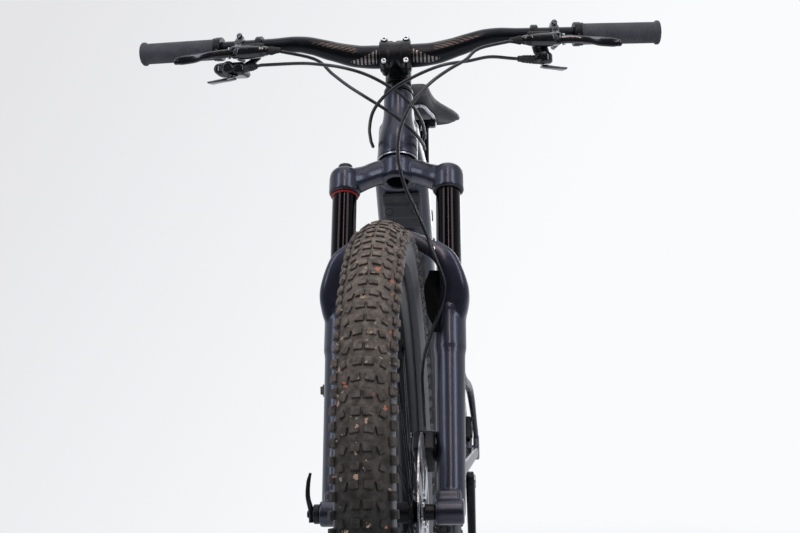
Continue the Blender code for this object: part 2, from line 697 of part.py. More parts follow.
def make_fork(steering, lowers):
    crown_top = CROWN_TO_AXLE
    low = crown_top - CROWN_DEPTH
    steerer_end = STEM_TOP - 0.003
    wall = ((0, low), (CROWN_BOSS_RADIUS - 0.003, low), (CROWN_BOSS_RADIUS, low + 0.006),
            (CROWN_BOSS_RADIUS, crown_top - 0.004), (CROWN_BOSS_RADIUS - 0.002, crown_top),
            (STEERER_RADIUS_LOW, crown_top), (STEERER_RADIUS_LOW, crown_top + 0.030),
            (STEERER_RADIUS, crown_top + STEERER_TAPER), (STEERER_RADIUS, steerer_end), (0, steerer_end))
    crown = add("fork_crown", turned(wall, 16, STEERING), painted(), steering)
    height = CROWN_SHOULDER_HEIGHT
    radius = CROWN_SHOULDER_RADIUS
    cup = ((0, 0), (radius - 0.0015, 0), (radius, 0.002), (radius, height - 0.008),
           (radius - 0.003, height - 0.002), (radius - 0.008, height), (0, height))
    arm = [(0.022, -0.004, low + 0.0160), (0.044, -0.012, low + 0.0030),
           (LEG_X, -LEG_OFFSET, CROWN_LOW + height / 2 - 0.004)]
    girth = [(0.0160, 0.0170), (0.0140, 0.0145), (0.0165, 0.0150)]
    socket = STANCHION_RADIUS + GAP
    sockets = []
    for side in (-1, 1):
        leg = STEERING @ Matrix.Translation((side * LEG_X, -LEG_OFFSET, CROWN_LOW))
        path = smooth_path([STEERING @ Vector((side * x, y, z)) for x, y, z in arm], 5)
        sizes = [girth[0], [between(girth[0][j], girth[1][j], 0.5) for j in (0, 1)], girth[1],
                 [between(girth[1][j], girth[2][j], 0.5) for j in (0, 1)], girth[2]]
        join(crown, turned(cup, 16, leg), swept(path, sizes, 10, 2.6, STEER_BACK))
        sockets.append(rod(leg @ Vector((0, 0, -PAST)), leg @ Vector((0, 0, height - CUP_LID)), socket, 16))
    inner = STEERER_RADIUS - STEERER_WALL
    hole = ((0, low - PAST), (STEERER_HOLE, low - PAST), (STEERER_HOLE, crown_top + 0.010),
            (inner, crown_top + STEERER_TAPER), (inner, steerer_end + PAST), (0, steerer_end + PAST))
    cut(crown, turned(hole, 16, STEERING), *sockets)

    tube_low = LEG_TOP - FORK_TRAVEL - 0.030
    outer, inner = STANCHION_RADIUS, STANCHION_RADIUS - STANCHION_WALL
    tube_top = CUP_TOP - CUP_LID - GAP
    wall = ((inner, tube_low), (outer, tube_low), (outer, tube_top), (inner, tube_top))
    for side, name in ((-1, "stanchion_right"), (1, "stanchion_left")):
        leg = STEERING @ Matrix.Translation((side * LEG_X, -LEG_OFFSET, 0))
        add(name, turned(wall, 16, leg), gloss_black(), steering)

    make_lowers(lowers, tube_low)


def make_lowers(lowers, tube_low):
    """Cast lower legs with the arch in front of them and a lug for the axle on each."""
    bore_low = tube_low - FORK_TRAVEL - 0.005
    leg_foot = -0.006
    profile = ((0, leg_foot), (LEG_RADIUS_LOW - 0.004, leg_foot), (LEG_RADIUS_LOW, leg_foot + 0.008),
               (LEG_RADIUS_MID, LEG_STEP_LOW - 0.005), (LEG_RADIUS_STEP, LEG_STEP_LOW + 0.005),
               (LEG_RADIUS_STEP, LEG_STEP - 0.006), (LEG_RADIUS_TOP, LEG_STEP + 0.006),
               (LEG_RADIUS_TOP, LEG_TOP - 0.006), (LEG_RADIUS_TOP - 0.003, LEG_TOP), (0, LEG_TOP))
    room = STANCHION_RADIUS + GAP
    piece = None
    for side in (-1, 1):
        leg = STEERING @ Matrix.Translation((side * LEG_X, -LEG_OFFSET, 0))
        skin = turned(profile, 16, leg)
        if piece:
            join(piece, skin)
        else:
            piece = add("fork_lowers", skin, painted(), lowers)
    reach = WHEEL_RADIUS + ARCH_CLEARANCE + ARCH_THICKNESS / 2
    front = -LEG_OFFSET
    bow = [(-LEG_X - 0.004, front - 0.014, LEG_TOP - 0.047), (-LEG_X - 0.001, front - 0.036, LEG_TOP - 0.005),
           (-0.052, front - 0.042, LEG_TOP + 0.022), (0, front - 0.042, reach)]
    bow += [(-x, y, z) for x, y, z in reversed(bow[:-1])]
    count = 13
    path = smooth_path([STEERING @ Vector(p) for p in bow], count)
    half = ARCH_THICKNESS / 2
    sizes = []
    for i in range(count):
        spread = abs(2 * i / (count - 1) - 1)
        sizes.append((0.009 + 0.003 * spread, half + 0.008 * spread**1.5))
    join(piece, swept(path, sizes, 8, 2.4, STEER_BACK))
    inside = HUB_WIDTH_FRONT / 2 + GAP
    outside = LEG_X + LEG_RADIUS_LOW - 0.001
    for side in (-1, 1):
        lug = rod((side * inside, FRONT_AXLE.y, FRONT_AXLE.z), (side * outside, FRONT_AXLE.y, FRONT_AXLE.z),
                  DROPOUT_RADIUS, 20)
        web = block((side * inside, -FORK_OFFSET, -0.012), (side * (outside - 0.004), -LEG_OFFSET, 0.030),
                    STEERING, 0.003)
        join(piece, lug, web)
    for side in (-1, 1):
        leg = STEERING @ Matrix.Translation((side * LEG_X, -LEG_OFFSET, 0))
        cut(piece, rod(leg @ Vector((0, 0, bore_low)), leg @ Vector((0, 0, CUP_TOP)), room, 16))
    cut(piece, rod(FRONT_AXLE - FAR_PAST * X, FRONT_AXLE + FAR_PAST * X, AXLE_RADIUS + GAP, 16))


def make_axle(lowers, lever):
    """The front thru-axle has its folding lever on the rider's right."""
    length = 2 * AXLE_END
    axle = turned(((0, 0), (AXLE_RADIUS, 0), (AXLE_RADIUS, length), (0.0125, length),
                   (0.0125, length + AXLE_HEAD), (0, length + AXLE_HEAD)), 16,
                  frame_on(FRONT_AXLE + AXLE_END * X, -X, Y))
    bmesh.ops.translate(axle, verts=axle.verts, vec=(-GAP, 0, 0))
    add("front_axle", axle, black_alloy(), lowers)
    hinge = lever.matrix_world.translation
    path = [hinge + Vector(p) for p in ((0, 0, -0.0105), (0, 0.001, 0.004), (-0.004, 0.002, 0.022),
                                        (-0.003, 0.002, 0.040), (0.000, 0.001, 0.052))]
    half = AXLE_LEVER_THICKNESS / 2
    handle = swept(path, [(half, 0.0085), (half, 0.0085), (0.0030, 0.0062), (0.0026, 0.0050),
                          (0.0016, 0.0030)], 10, 2.2, X)
    add("axle_lever", handle, black_alloy(), lever)


def make_tyre(name, centre, parent):
    """A round casing on the rim with rows of tread blocks, made low and high in turn."""
    casing_centre = WHEEL_RADIUS - KNOB_DEPTH - TYRE_CASING
    angles = [radians(a) for a in (-142, -100, -58, -30, 0, 30, 58, 100, 142)]
    shoulder = TYRE_WIDTH / 2 - TYRE_CASING * sin(radians(58))
    bm = bmesh.new()
    rings = 2 * KNOB_COUNT
    loops = []
    for i in range(rings):
        turn = tau * i / rings
        high = i % 2 == 0
        section = []
        for k, angle in enumerate(angles):
            lift = 0.0
            if k in (3, 4, 5):
                lift = KNOB_DEPTH if high else 0.0012
            if k in (2, 6):
                lift = 0.001 if high else shoulder / sin(radians(58))
            radius = TYRE_CASING + lift
            section.append((radius * sin(angle), casing_centre + radius * cos(angle)))
        section[0] = (-RIM_WIDTH / 2 + 0.0035, RIM_RADIUS + GAP)
        section[-1] = (RIM_WIDTH / 2 - 0.0035, RIM_RADIUS + GAP)
        inner = TYRE_CASING - TYRE_WALL
        inside = [(inner * sin(angles[k]), casing_centre + inner * cos(angles[k])) for k in (7, 4, 1)]
        ring = []
        for x, r in section + inside:
            ring.append(bm.verts.new((x, r * sin(turn), -r * cos(turn))))
        loops.append(ring)
    count = len(loops[0])
    for i in range(rings):
        near, far = loops[i], loops[(i + 1) % rings]
        for k in range(count):
            bm.faces.new((near[k], near[(k + 1) % count], far[(k + 1) % count], far[k]))
    bmesh.ops.translate(bm, verts=bm.verts, vec=centre)
    bmesh.ops.recalc_face_normals(bm, faces=bm.faces)
    add(name, bm, rubber(), parent, 30)


def make_rim(name, centre, parent):
    half = RIM_WIDTH / 2
    inner = RIM_RADIUS - RIM_DEPTH
    profile = ((inner, -0.010), (inner, 0.010), (RIM_RADIUS, half), (RIM_RADIUS, -half))
    add(name, turned(profile, 2 * KNOB_COUNT, frame_on(centre, X, Y)), black_alloy(), parent)


def make_hub(name, centre, parent, width, left_flange, right_flange, driver=0.0):
    """A turned hub with crossed spokes in it; driver is the length that carries the cogs."""
    half = width / 2 - GAP
    rotor_seat = width / 2 - ROTOR_INSET
    step = 0.0025
    profile = [(AXLE_RADIUS + GAP, -half), (HUB_CAP, -half)]
    if driver:
        start = -half + HUB_CAP_LENGTH
        profile += [(HUB_CAP, start), (DRIVER_RADIUS, start), (DRIVER_RADIUS, start + driver)]
    else:
        profile += [(HUB_CAP, -right_flange - 0.006)]
    for flange in (-right_flange, left_flange):
        profile += [(HUB_BODY, flange - step - 0.001), (HUB_FLANGE, flange - step),
                    (HUB_FLANGE, flange + step), (HUB_BODY, flange + step + 0.001)]
    profile += [(0.0170, rotor_seat - 0.006), (0.0170, rotor_seat + 0.0035), (HUB_CAP, rotor_seat + 0.0035),
                (HUB_CAP, half), (AXLE_RADIUS + GAP, half)]
    hub = add(name, turned(profile, 12, frame_on(centre, X, Y)), black_alloy(), parent)
    spokes = bmesh.new()
    per_side = SPOKE_COUNT // 2
    tip = (RIM_RADIUS - RIM_DEPTH) * cos(pi / (2 * KNOB_COUNT)) - GAP
    for flange in (-right_flange, left_flange):
        for i in range(per_side):
            lead = 1 if i % 2 else -1
            angle = tau * i / per_side + (0.1 if flange > 0 else 0.0)
            near = Vector((flange + 0.0014 * lead, SPOKE_HOLES * cos(angle), SPOKE_HOLES * sin(angle)))
            angle += lead * SPOKE_LEAN
            far = Vector((0.004 if flange > 0 else -0.004, tip * cos(angle), tip * sin(angle)))
            ends = [oval(frame_on(centre + end, far - near), SPOKE_RADIUS, SPOKE_RADIUS, 3)
                    for end in (near, far)]
            skin_between(spokes, ends)
    bmesh.ops.recalc_face_normals(spokes, faces=spokes.faces)
    join(hub, spokes)


def make_rotor(name, centre, parent, width):
    """A brake disc: a band on six arms, bolted to the hub on the rider's left."""
    seat = width / 2 - ROTOR_INSET
    half = ROTOR_THICKNESS / 2
    inner = 0.0170 + GAP
    disc = turned(((inner, seat - half), (ROTOR_RADIUS, seat - half), (ROTOR_RADIUS, seat + half),
                   (inner, seat + half)), 24, frame_on(centre, X, Y))
    rotor = add(name, disc, steel(), parent)
    band = ROTOR_RADIUS - ROTOR_BAND
    for i in range(6):
        start = tau * i / 6
        corners = [(0.030, 0.22), (band, 0.10), (band, 0.90), (0.030, 0.80)]
        outline = [(centre.y + r * cos(start + a), centre.z + r * sin(start + a)) for r, a in corners]
        cut(rotor, plate(outline, seat - PAST, seat + PAST))


def cog_radius(teeth):
    return teeth * CHAIN_PITCH / tau


def seat_radius(teeth):
    """The root that the chain's inner side lies on, clear of its flats."""
    return cog_radius(teeth) - CHAIN_SAG - CHAIN_HEIGHT / 2 - GAP


# Chain run: the cogs' place on the rear hub and the two guide wheels of the derailleur
COGS = (13, 17, 21, 25, 30, 35, 40)
CHAIN_COG = COGS.index(COG_TEETH)
COG_X = -CHAINLINE
UPPER_PULLEY = Vector((REAR_AXLE.y + UPPER_PULLEY_BACK, REAR_AXLE.z - UPPER_PULLEY_DROP))
LOWER_PULLEY = Vector((REAR_AXLE.y - LOWER_PULLEY_AHEAD, REAR_AXLE.z - LOWER_PULLEY_DROP))


def make_cassette(parent):
    """The cogs on one carrier, the largest next to the spokes."""
    core = bore_for(DRIVER_RADIUS, 16)
    half = COG_THICKNESS / 2
    neck = 0.0205
    profile = [(core, -half)]
    for i, teeth in enumerate(COGS):
        place = i * COG_SPACING
        radius = seat_radius(teeth)
        if i:
            profile.append((neck, place - COG_SPACING / 2))
        profile += [(radius, place - half), (radius, place + half)]
    profile.append((core, (len(COGS) - 1) * COG_SPACING + half))
    outer_x = COG_X - CHAIN_COG * COG_SPACING
    place = Vector((outer_x, REAR_AXLE.y, REAR_AXLE.z))
    add("cassette", turned(profile, 16, frame_on(place, X, Y)), steel(), parent)


def make_chain():
    """The chain's run as one closed band; it passes both guide wheels in an S."""
    circles = [(Vector((CRANK.y, CRANK.z)), cog_radius(CHAINRING_TEETH)),
               (LOWER_PULLEY, cog_radius(PULLEY_TEETH)), (UPPER_PULLEY, cog_radius(PULLEY_TEETH)),
               (Vector((REAR_AXLE.y, REAR_AXLE.z)), cog_radius(COG_TEETH))]
    line = strap(circles, (1, 1, -1, 1), CHAIN_SAG)
    bm = bmesh.new()
    rings = []
    for i, point in enumerate(line):
        ahead = (line[(i + 1) % len(line)] - line[i - 1]).normalized()
        out = Vector((ahead.y, -ahead.x))
        ring = []
        for side, lift in ((-1, -1), (-1, 1), (1, 1), (1, -1)):
            y, z = point + out * lift * CHAIN_HEIGHT / 2
            ring.append(bm.verts.new((COG_X + side * CHAIN_WIDTH / 2, y, z)))
        rings.append(ring)
    for near, far in zip(rings, rings[1:] + rings[:1]):
        for k in range(4):
            bm.faces.new((near[k], near[(k + 1) % 4], far[(k + 1) % 4], far[k]))
    bmesh.ops.recalc_face_normals(bm, faces=bm.faces)
    add("chain", bm, steel())


def make_cranks(parent):
    """Left arm down and right arm up, as the photo has them; the ring is on the right."""
    inner = CRANK_STANCE - CRANK_THICKNESS
    for side, down, name in ((1, 1, "crank_arm_left"), (-1, -1, "crank_arm_right")):
        tip = -down * CRANK_LENGTH
        near, far = side * inner, side * CRANK_STANCE
        middle = CRANK + (near + far) / 2 * X
        path = [middle + tip * share * Z for share in (-0.10, -0.02, 0.1, 0.5, 0.92, 1.05)]
        depth = CRANK_THICKNESS / 2
        sizes = [(depth * 0.8, 0.012), (depth, 0.0185), (depth, 0.0170), (depth * 0.9, 0.0140),
                 (depth * 0.9, 0.0140), (depth * 0.7, 0.0090)]
        arm = add(name, swept(path, sizes, 12, 3.0, X), black_alloy(), parent)
        cut(arm, rod(CRANK, CRANK + FAR_PAST * side * X, bore_for(SPINDLE_RADIUS, 16), 16))
        eye = CRANK + Vector((0, 0, tip))
        cut(arm, rod(eye, eye + FAR_PAST * side * X, bore_for(PEDAL_AXLE_RADIUS, 12), 12))
    spindle = rod(CRANK - CRANK_STANCE * X, CRANK + CRANK_STANCE * X, SPINDLE_RADIUS, 16)
    radius = seat_radius(CHAINRING_TEETH)
    ring = add("chainring", spindle, black_alloy(), parent)
    half = 0.0012
    disc = ((0, -half), (radius, -half), (radius, half), (0, half))
    centre = CRANK - CHAINLINE * X
    join(ring, turned(disc, 24, frame_on(centre, X, Y)))
    for i in range(5):
        angle = tau * (i + 0.5) / 5
        corners = ((0.024, -0.30), (0.054, -0.42), (0.054, 0.42), (0.024, 0.30))
        outline = [(CRANK.y + r * cos(angle + a), CRANK.z + r * sin(angle + a)) for r, a in corners]
        cut(ring, plate(outline, -CHAINLINE - PAST, -CHAINLINE + PAST))


def make_pedal(name, side, parent):
    """A flat platform pedal with two windows, on a short axle screwed into the crank."""
    eye = parent.matrix_world.translation
    near = CRANK_STANCE + 0.004
    far = near + PEDAL_WIDTH
    half = Vector((0, PEDAL_LENGTH / 2, PEDAL_THICKNESS / 2))
    body = block(eye + side * near * X - half, eye + side * far * X + half, bevel=0.003)
    pedal = add(name, body, plastic(), parent)
    for back in (-1, 1):
        centre = eye + Vector((0, back * PEDAL_LENGTH * 0.26, 0))
        half = Vector((0, 0.015, 0.02))
        cut(pedal, block(centre + side * (near + 0.012) * X - half, centre + side * (far - 0.012) * X + half))
    axle_start = CRANK_STANCE - CRANK_THICKNESS + 0.001
    axle_end = near + 0.010
    join(pedal, rod(eye + side * axle_start * X, eye + side * axle_end * X, PEDAL_AXLE_RADIUS, 12))


def make_derailleur(cage):
    """The body bolts under the right dropout; the sprung cage holds the two guide wheels."""
    hinge = cage.matrix_world.translation
    seat = -HUB_WIDTH_REAR / 2 - 2 * GAP - HANGER_THICKNESS
    hanger = Vector((seat - 0.014, REAR_AXLE.y + 0.006, REAR_AXLE.z - 0.034))
    path = [hanger + Vector((0.004, 0, 0)), hanger + Vector((-0.004, -0.004, -0.020)),
            Vector((hinge.x - 0.022, hinge.y, hinge.z + 0.004))]
    arm = swept(path, [(0.008, 0.011), (0.009, 0.012), (0.008, 0.013)], 10, 2.6, X)
    body = add("derailleur_body", arm, black_alloy())
    join(body, rod(hinge - 0.024 * X, hinge - 0.0105 * X, 0.0105, 16),
         rod(hanger, (seat, hanger.y, hanger.z), 0.007, 12))
    radius = seat_radius(PULLEY_TEETH)
    gap = CHAIN_WIDTH / 2 + 0.0008
    thick = 0.0022
    circles = [(UPPER_PULLEY, 0.013), (LOWER_PULLEY, 0.013)]
    outline = [tuple(p) for p in strap(circles, (1, 1), 0.0010)]
    outer = COG_X - gap
    piece = add("derailleur_cage", plate(outline, outer - thick, outer), black_alloy(), cage)
    join(piece, plate(outline, COG_X + gap, COG_X + gap + thick))
    for pulley in (UPPER_PULLEY, LOWER_PULLEY):
        join(piece, rod((COG_X - 0.0012, *pulley), (COG_X + 0.0012, *pulley), radius, 14),
             rod((outer - 0.001, *pulley), (COG_X + gap + 0.001, *pulley), 0.005, 8))


def make_seat(dropper):
    """A dropper post: the outer tube is clamped in the frame, the inner one slides in it."""
    top = SEAT_TUBE_LENGTH
    collar = POST_TOP
    bore = DROPPER_RADIUS + GAP
    low = top - POST_INSERTION
    step = collar - POST_COLLAR_HEIGHT
    outer = ((bore, low), (POST_RADIUS, low), (POST_RADIUS, step), (POST_COLLAR_RADIUS, step),
             (POST_COLLAR_RADIUS, collar - 0.003), (POST_COLLAR_RADIUS - 0.002, collar), (bore, collar))
    add("seatpost_outer", turned(outer, 16, SEATING), black_alloy())
    clamp_bore = POST_RADIUS + GAP
    edge, high = SEAT_TUBE_RADIUS + SEAT_CLAMP_WALL, top + SEAT_CLAMP_HEIGHT
    ring = ((clamp_bore, top + GAP), (edge, top + GAP), (edge, high), (clamp_bore, high))
    clamp = add("seat_clamp", turned(ring, 16, SEATING), black_alloy())
    ear = block((-0.009, edge - 0.003, top + 0.001), (0.009, edge + 0.009, high - 0.0005), SEATING, 0.0015)
    join(clamp, ear)
    slot = SEAT_CLAMP_SLOT / 2
    cut(clamp, block((-slot, 0.014, top - PAST), (slot, edge + 0.009 + PAST, high + PAST), SEATING))

    foot = low + DROPPER_TRAVEL + 0.004
    head = RAIL_PLACE - RAIL_RADIUS - 0.006
    tube = rod(SEATING @ Vector((0, 0, foot)), SEATING @ Vector((0, 0, head)), DROPPER_RADIUS, 16)
    shaft = add("seatpost_inner", tube, gloss_black(), dropper)
    centre = SEATING @ Vector((0, 0, RAIL_PLACE))
    cradle = block((-0.027, -0.020, -0.020), (0.027, 0.020, 0.004), Matrix.Translation(centre), 0.003)
    join(shaft, cradle)
    for side in (-1, 1):
        rail = centre + Vector((side * RAIL_SPACING / 2, 0, 0))
        cut(shaft, rod(rail - FAR_PAST * Y, rail + FAR_PAST * Y, RAIL_RADIUS + GAP, 12))
    for side in (-1, 1):
        rail = centre + Vector((side * RAIL_SPACING / 2, 0, 0))
        mouth = Vector((RAIL_RADIUS, FAR_PAST, 0))
        cut(shaft, block(rail - mouth, rail + mouth + PAST * Z))
    make_saddle(dropper, centre)


def make_saddle(dropper, clamp):
    """A narrow nose that widens to the back, crowned, with its sides drawn in under the edge."""
    nose = clamp.y - SADDLE_LENGTH * 0.52
    length = SADDLE_LENGTH
    shares = (0.0, 0.05, 0.14, 0.28, 0.42, 0.56, 0.68, 0.80, 0.90, 0.97, 1.0)
    widths = (0.10, 0.25, 0.29, 0.34, 0.42, 0.60, 0.80, 0.97, 1.0, 0.86, 0.55)
    rings = []
    count = 20
    for share, width in zip(shares, widths):
        half = SADDLE_WIDTH / 2 * width
        rise = 0.010 * (2 * share - 1) ** 2
        droop = 0.022 * max(0.0, width - 0.30)
        nose_drop = 0.018 * max(0.0, 1 - share / 0.10) ** 2
        tail_drop = 0.010 * max(0.0, (share - 0.9) / 0.1) ** 2
        crown = SADDLE_TOP - 0.010 + rise - nose_drop - tail_drop
        thick = SADDLE_THICKNESS * (0.55 + 0.45 * min(1.0, share / 0.2))
        y = nose + share * length
        ring = []
        for i in range(count):
            angle = tau * (i + 0.5) / count
            x = half * cos(angle) * (1.0 if sin(angle) > -0.3 else 0.82)
            up = sin(angle)
            sag = droop * (x / max(half, 1e-6)) ** 2
            channel = 0.004 * max(0.0, 1 - (x / 0.009) ** 2) if 0.2 < share < 0.95 else 0.0
            z = crown - thick * 0.38 + (thick * 0.38 * up if up > 0 else thick * 0.62 * up) - sag
            ring.append((x, y, z - (channel if up > 0 else 0.0)))
        rings.append(ring)
    add("saddle", lofted(rings), rubber(), dropper, 60)

    half = RAIL_SPACING / 2
    under = clamp.z
    tail = clamp.y + 0.085
    front = nose + 0.045
    points = [(half, tail, under + 0.0112), (half, clamp.y + 0.050, under), (half, clamp.y + 0.024, under),
              (half, clamp.y - 0.024, under), (half, clamp.y - 0.046, under),
              (half * 0.72, front + 0.030, under + 0.004), (half * 0.40, front + 0.008, under + 0.010),
              (0, front, under + 0.012)]
    points += [(-x, y, z) for x, y, z in reversed(points[:-1])]
    path = smooth_path(points, 21)
    add("saddle_rails", swept(path, [(RAIL_RADIUS, RAIL_RADIUS)] * len(path), 6, 2.0, Z), steel(), dropper)


# The handlebar's straight outer part starts at its bend and runs out, up and back to its end
BAR_OUT = Vector((BAR_WIDTH / 2 - BAR_BEND, BAR_SWEEP, 0.004))
BAR_KINK = BAR_CENTRE + Vector((BAR_BEND, 0.003, BAR_RISE - 0.004))


def on_bar(place, side=1):
    """A point on the bar's straight outer part, at a distance of place from the bike's middle."""
    point = BAR_KINK + BAR_OUT * ((place - BAR_BEND) / BAR_OUT.x)
    return Vector((side * point.x, point.y, point.z))


def bar_matrix(place, side=1):
    """The frame there: z runs outward along the bar, x points up and y to the rear."""
    out = Vector((side * BAR_OUT.x, BAR_OUT.y, BAR_OUT.z)).normalized()
    up = (Z - out * Z.dot(out)).normalized()
    back = (Y - out * Y.dot(out)).normalized()
    turn = Matrix((up, back, out)).transposed().to_4x4()
    return Matrix.Translation(on_bar(place, side)) @ turn


def make_bar(steering):
    inner = [BAR_CENTRE + Vector((x, 0, rise * BAR_RISE))
             for x, rise in ((0, 0), (0.030, 0), (0.060, 0.09), (0.095, 0.40), (0.125, 0.71))]
    outer = [on_bar(BAR_BEND), on_bar(BAR_BEND + 0.035), on_bar(BAR_BEND + 0.075), on_bar(BAR_WIDTH / 2)]
    side = inner + outer
    radii = [BAR_RADIUS, BAR_RADIUS, 0.0165, 0.0145, 0.0130, 0.0120] + [BAR_END_RADIUS] * 3
    path = [Vector((-p.x, p.y, p.z)) for p in reversed(side[1:])] + side
    sizes = [(r, r) for r in reversed(radii[1:])] + [(r, r) for r in radii]
    add("handlebar", swept(path, sizes, 12, 2.0, Z), black_alloy(), steering)
    bore = bore_for(BAR_END_RADIUS, 12)
    for side, name in ((1, "grip_left"), (-1, "grip_right")):
        wall = ((bore, 0), (GRIP_FLANGE, 0), (GRIP_FLANGE, 0.010), (GRIP_RADIUS, 0.011),
                (GRIP_RADIUS, GRIP_LENGTH - 0.006), (GRIP_FLANGE, GRIP_LENGTH - 0.005),
                (GRIP_FLANGE, GRIP_LENGTH), (bore, GRIP_LENGTH))
        add(name, turned(wall, 12, bar_matrix(GRIP_START, side)), rubber(), steering)


def make_stem(steering):
    """The body clamps the steerer; the faceplate closes on the bar with four bolts."""
    middle = STEM_LOW + STEM_HEIGHT / 2
    outer = STEERER_RADIUS + STEM_WALL
    low, high = STEM_LOW, STEM_TOP
    clamp = BAR_RADIUS + STEM_WALL
    ring = ((0, low), (outer, low), (outer, high), (0, high))
    body = add("stem_body", turned(ring, 16, STEERING), black_alloy(), steering)
    half = STEM_CLAMP_WIDTH / 2
    neck = block((-0.0175, -STEM_LENGTH, low + 0.004), (0.0175, 0, high - 0.004), STEERING, 0.003)
    saddle = rod(BAR_CENTRE - half * X, BAR_CENTRE + half * X, clamp, 20)
    join(body, neck, saddle)
    split = 0.0008
    room = Vector((FAR_PAST, FAR_PAST, FAR_PAST))
    bar = Vector((0, -STEM_LENGTH, middle))
    front, rear = bar - split * Y, bar + split * Y
    cut(body, block(rear - room, rear + Vector((FAR_PAST, 0, FAR_PAST)), STEERING))
    reach = (half + PAST) * X
    tube = rod(BAR_CENTRE - reach, BAR_CENTRE + reach, BAR_RADIUS + GAP, 20)
    bore = STEERER_RADIUS + GAP
    hole = ((0, low - PAST), (bore, low - PAST), (bore, high + PAST), (0, high + PAST))
    cut(body, turned(hole, 16, STEERING), tube)

    face = add("stem_faceplate", rod(BAR_CENTRE - half * X, BAR_CENTRE + half * X, clamp, 20),
               black_alloy(), steering)
    for side in (-1, 1):
        for level in (-1, 1):
            lug = STEERING @ (bar + Vector((side * (half - 0.007), -0.016, level * FACEPLATE_BOLT_RISE)))
            join(face, rod(lug, lug + STEER_BACK * 0.015, FACEPLATE_LUG_RADIUS, 8))
    cut(face, block(front - Vector((FAR_PAST, 0, FAR_PAST)), front + room, STEERING))
    cut(face, rod(BAR_CENTRE - reach, BAR_CENTRE + reach, BAR_RADIUS + GAP, 20))


def clamp_ring(place, side, width=CLAMP_WIDTH):
    bore = bore_for(BAR_END_RADIUS, 12)
    outer = bore + CLAMP_WALL
    half = width / 2
    wall = ((bore, -half), (outer, -half), (outer, half), (bore, half))
    return turned(wall, 12, bar_matrix(place, side))


# Brake levers hang in front of the bar; these sizes are in the bar's own frame
MASTER_FORWARD = 0.030
MASTER_DROP = 0.014
MASTER_LENGTH = 0.056


def lever_hinge(side):
    return bar_matrix(LEVER_HINGE_PLACE, side) @ Vector((-MASTER_DROP, -MASTER_FORWARD, 0))


def make_brake(name, side, steering, lever):
    """A lever body on the bar with its piston barrel, and the blade that the finger pulls."""
    frame = bar_matrix(BRAKE_CLAMP_PLACE, side)
    body = add(f"brake_master_{name}", clamp_ring(BRAKE_CLAMP_PLACE, side), gloss_black(), steering)
    arm = [frame @ Vector(p) for p in ((-0.002, -0.0145, 0), (-MASTER_DROP, -MASTER_FORWARD, -0.004))]
    barrel = [frame @ Vector((-MASTER_DROP, -MASTER_FORWARD, z))
              for z in (-MASTER_LENGTH, 0.010 - MASTER_LENGTH, 0.026 - MASTER_LENGTH, -0.012, -0.003)]
    sizes = [(0.0050, 0.0050), (0.0075, 0.0075), (0.0095, 0.0105), (0.0105, 0.0110), (0.0080, 0.0085)]
    join(body, swept(arm, [(0.007, 0.0055)] * 2, 8, 2.4, X), swept(barrel, sizes, 10, 2.2, Z))
    bore = bore_for(BAR_END_RADIUS, 12)
    cut(body, rod(frame @ Vector((0, 0, -CLAMP_WIDTH)), frame @ Vector((0, 0, CLAMP_WIDTH)), bore, 12))
    hinge = lever.matrix_world.translation
    near = bar_matrix(LEVER_HINGE_PLACE, side)
    route = ((0.0, 0.0, -0.0045), (-0.001, -0.003, 0.010), (-0.0035, -0.009, 0.030),
             (-0.0065, -0.007, 0.056), (-0.010, -0.011, 0.083))
    path = [hinge + (near.to_3x3() @ Vector(p)) for p in route]
    sizes = [(0.0045, 0.0065), (0.0048, 0.0060), (0.0034, 0.0060), (0.0034, 0.0062), (0.0022, 0.0040)]
    blade = swept(path, sizes, 10, 2.4, near.to_3x3() @ Y)
    add(f"brake_lever_{name}", blade, gloss_black(), lever)


SHIFT_POD = Vector((-0.036, -0.010, 0.042))
SHIFT_BARREL_ROOT = SHIFT_POD + Vector((0, -0.010, -0.024))
SHIFT_BARREL_END = SHIFT_POD + Vector((0.002, -0.012, -0.044))
SHIFT_PADDLE_HINGE = SHIFT_POD + Vector((-0.013, -0.002, 0.002))
REMOTE_ARM_END = Vector((-0.040, -0.008, 0.008))
REMOTE_BARREL_ROOT = REMOTE_ARM_END + Vector((0, -0.002, 0.004))
REMOTE_BARREL_END = REMOTE_ARM_END + Vector((0.002, -0.006, -0.036))
DROPPER_HINGE = REMOTE_ARM_END + Vector((-0.0086, -0.002, 0.006))


def thumb_piece(root, route, sizes, frame):
    """A flat lever for the thumb; its route is in the control's own frame, from its hinge."""
    turn = frame.to_3x3()
    return swept([root + turn @ Vector(point) for point in route], sizes, 10, 2.6, turn @ X)


def make_shifter(steering, paddle):
    frame = bar_matrix(SHIFT_CLAMP_PLACE, -1)
    body = add("shifter_body", clamp_ring(SHIFT_CLAMP_PLACE, -1, 0.009), plastic(), steering)
    post = [frame @ Vector((-0.0160, -0.004, 0.002)), frame @ (SHIFT_POD + Vector((0.004, 0.002, -0.018)))]
    near, far = Vector((0.0105, 0.019, 0.026)), Vector((0.0105, 0.019, 0.020))
    pod = block(SHIFT_POD - near, SHIFT_POD + far, frame, 0.005)
    barrel = rod(frame @ SHIFT_BARREL_ROOT, frame @ SHIFT_BARREL_END, 0.0062, 12, 0.0042)
    join(body, swept(post, [(0.0050, 0.006)] * 2, 10, 2.4, X), pod, barrel)
    root = frame @ SHIFT_PADDLE_HINGE
    route = ((0, 0.0, -0.008), (-0.002, 0.002, 0.012), (-0.003, 0.008, 0.034))
    sizes = [(0.0022, 0.006), (0.0022, 0.006), (0.0022, 0.009)]
    add("shifter_paddle", thumb_piece(root, route, sizes, frame), gloss_black(), paddle)


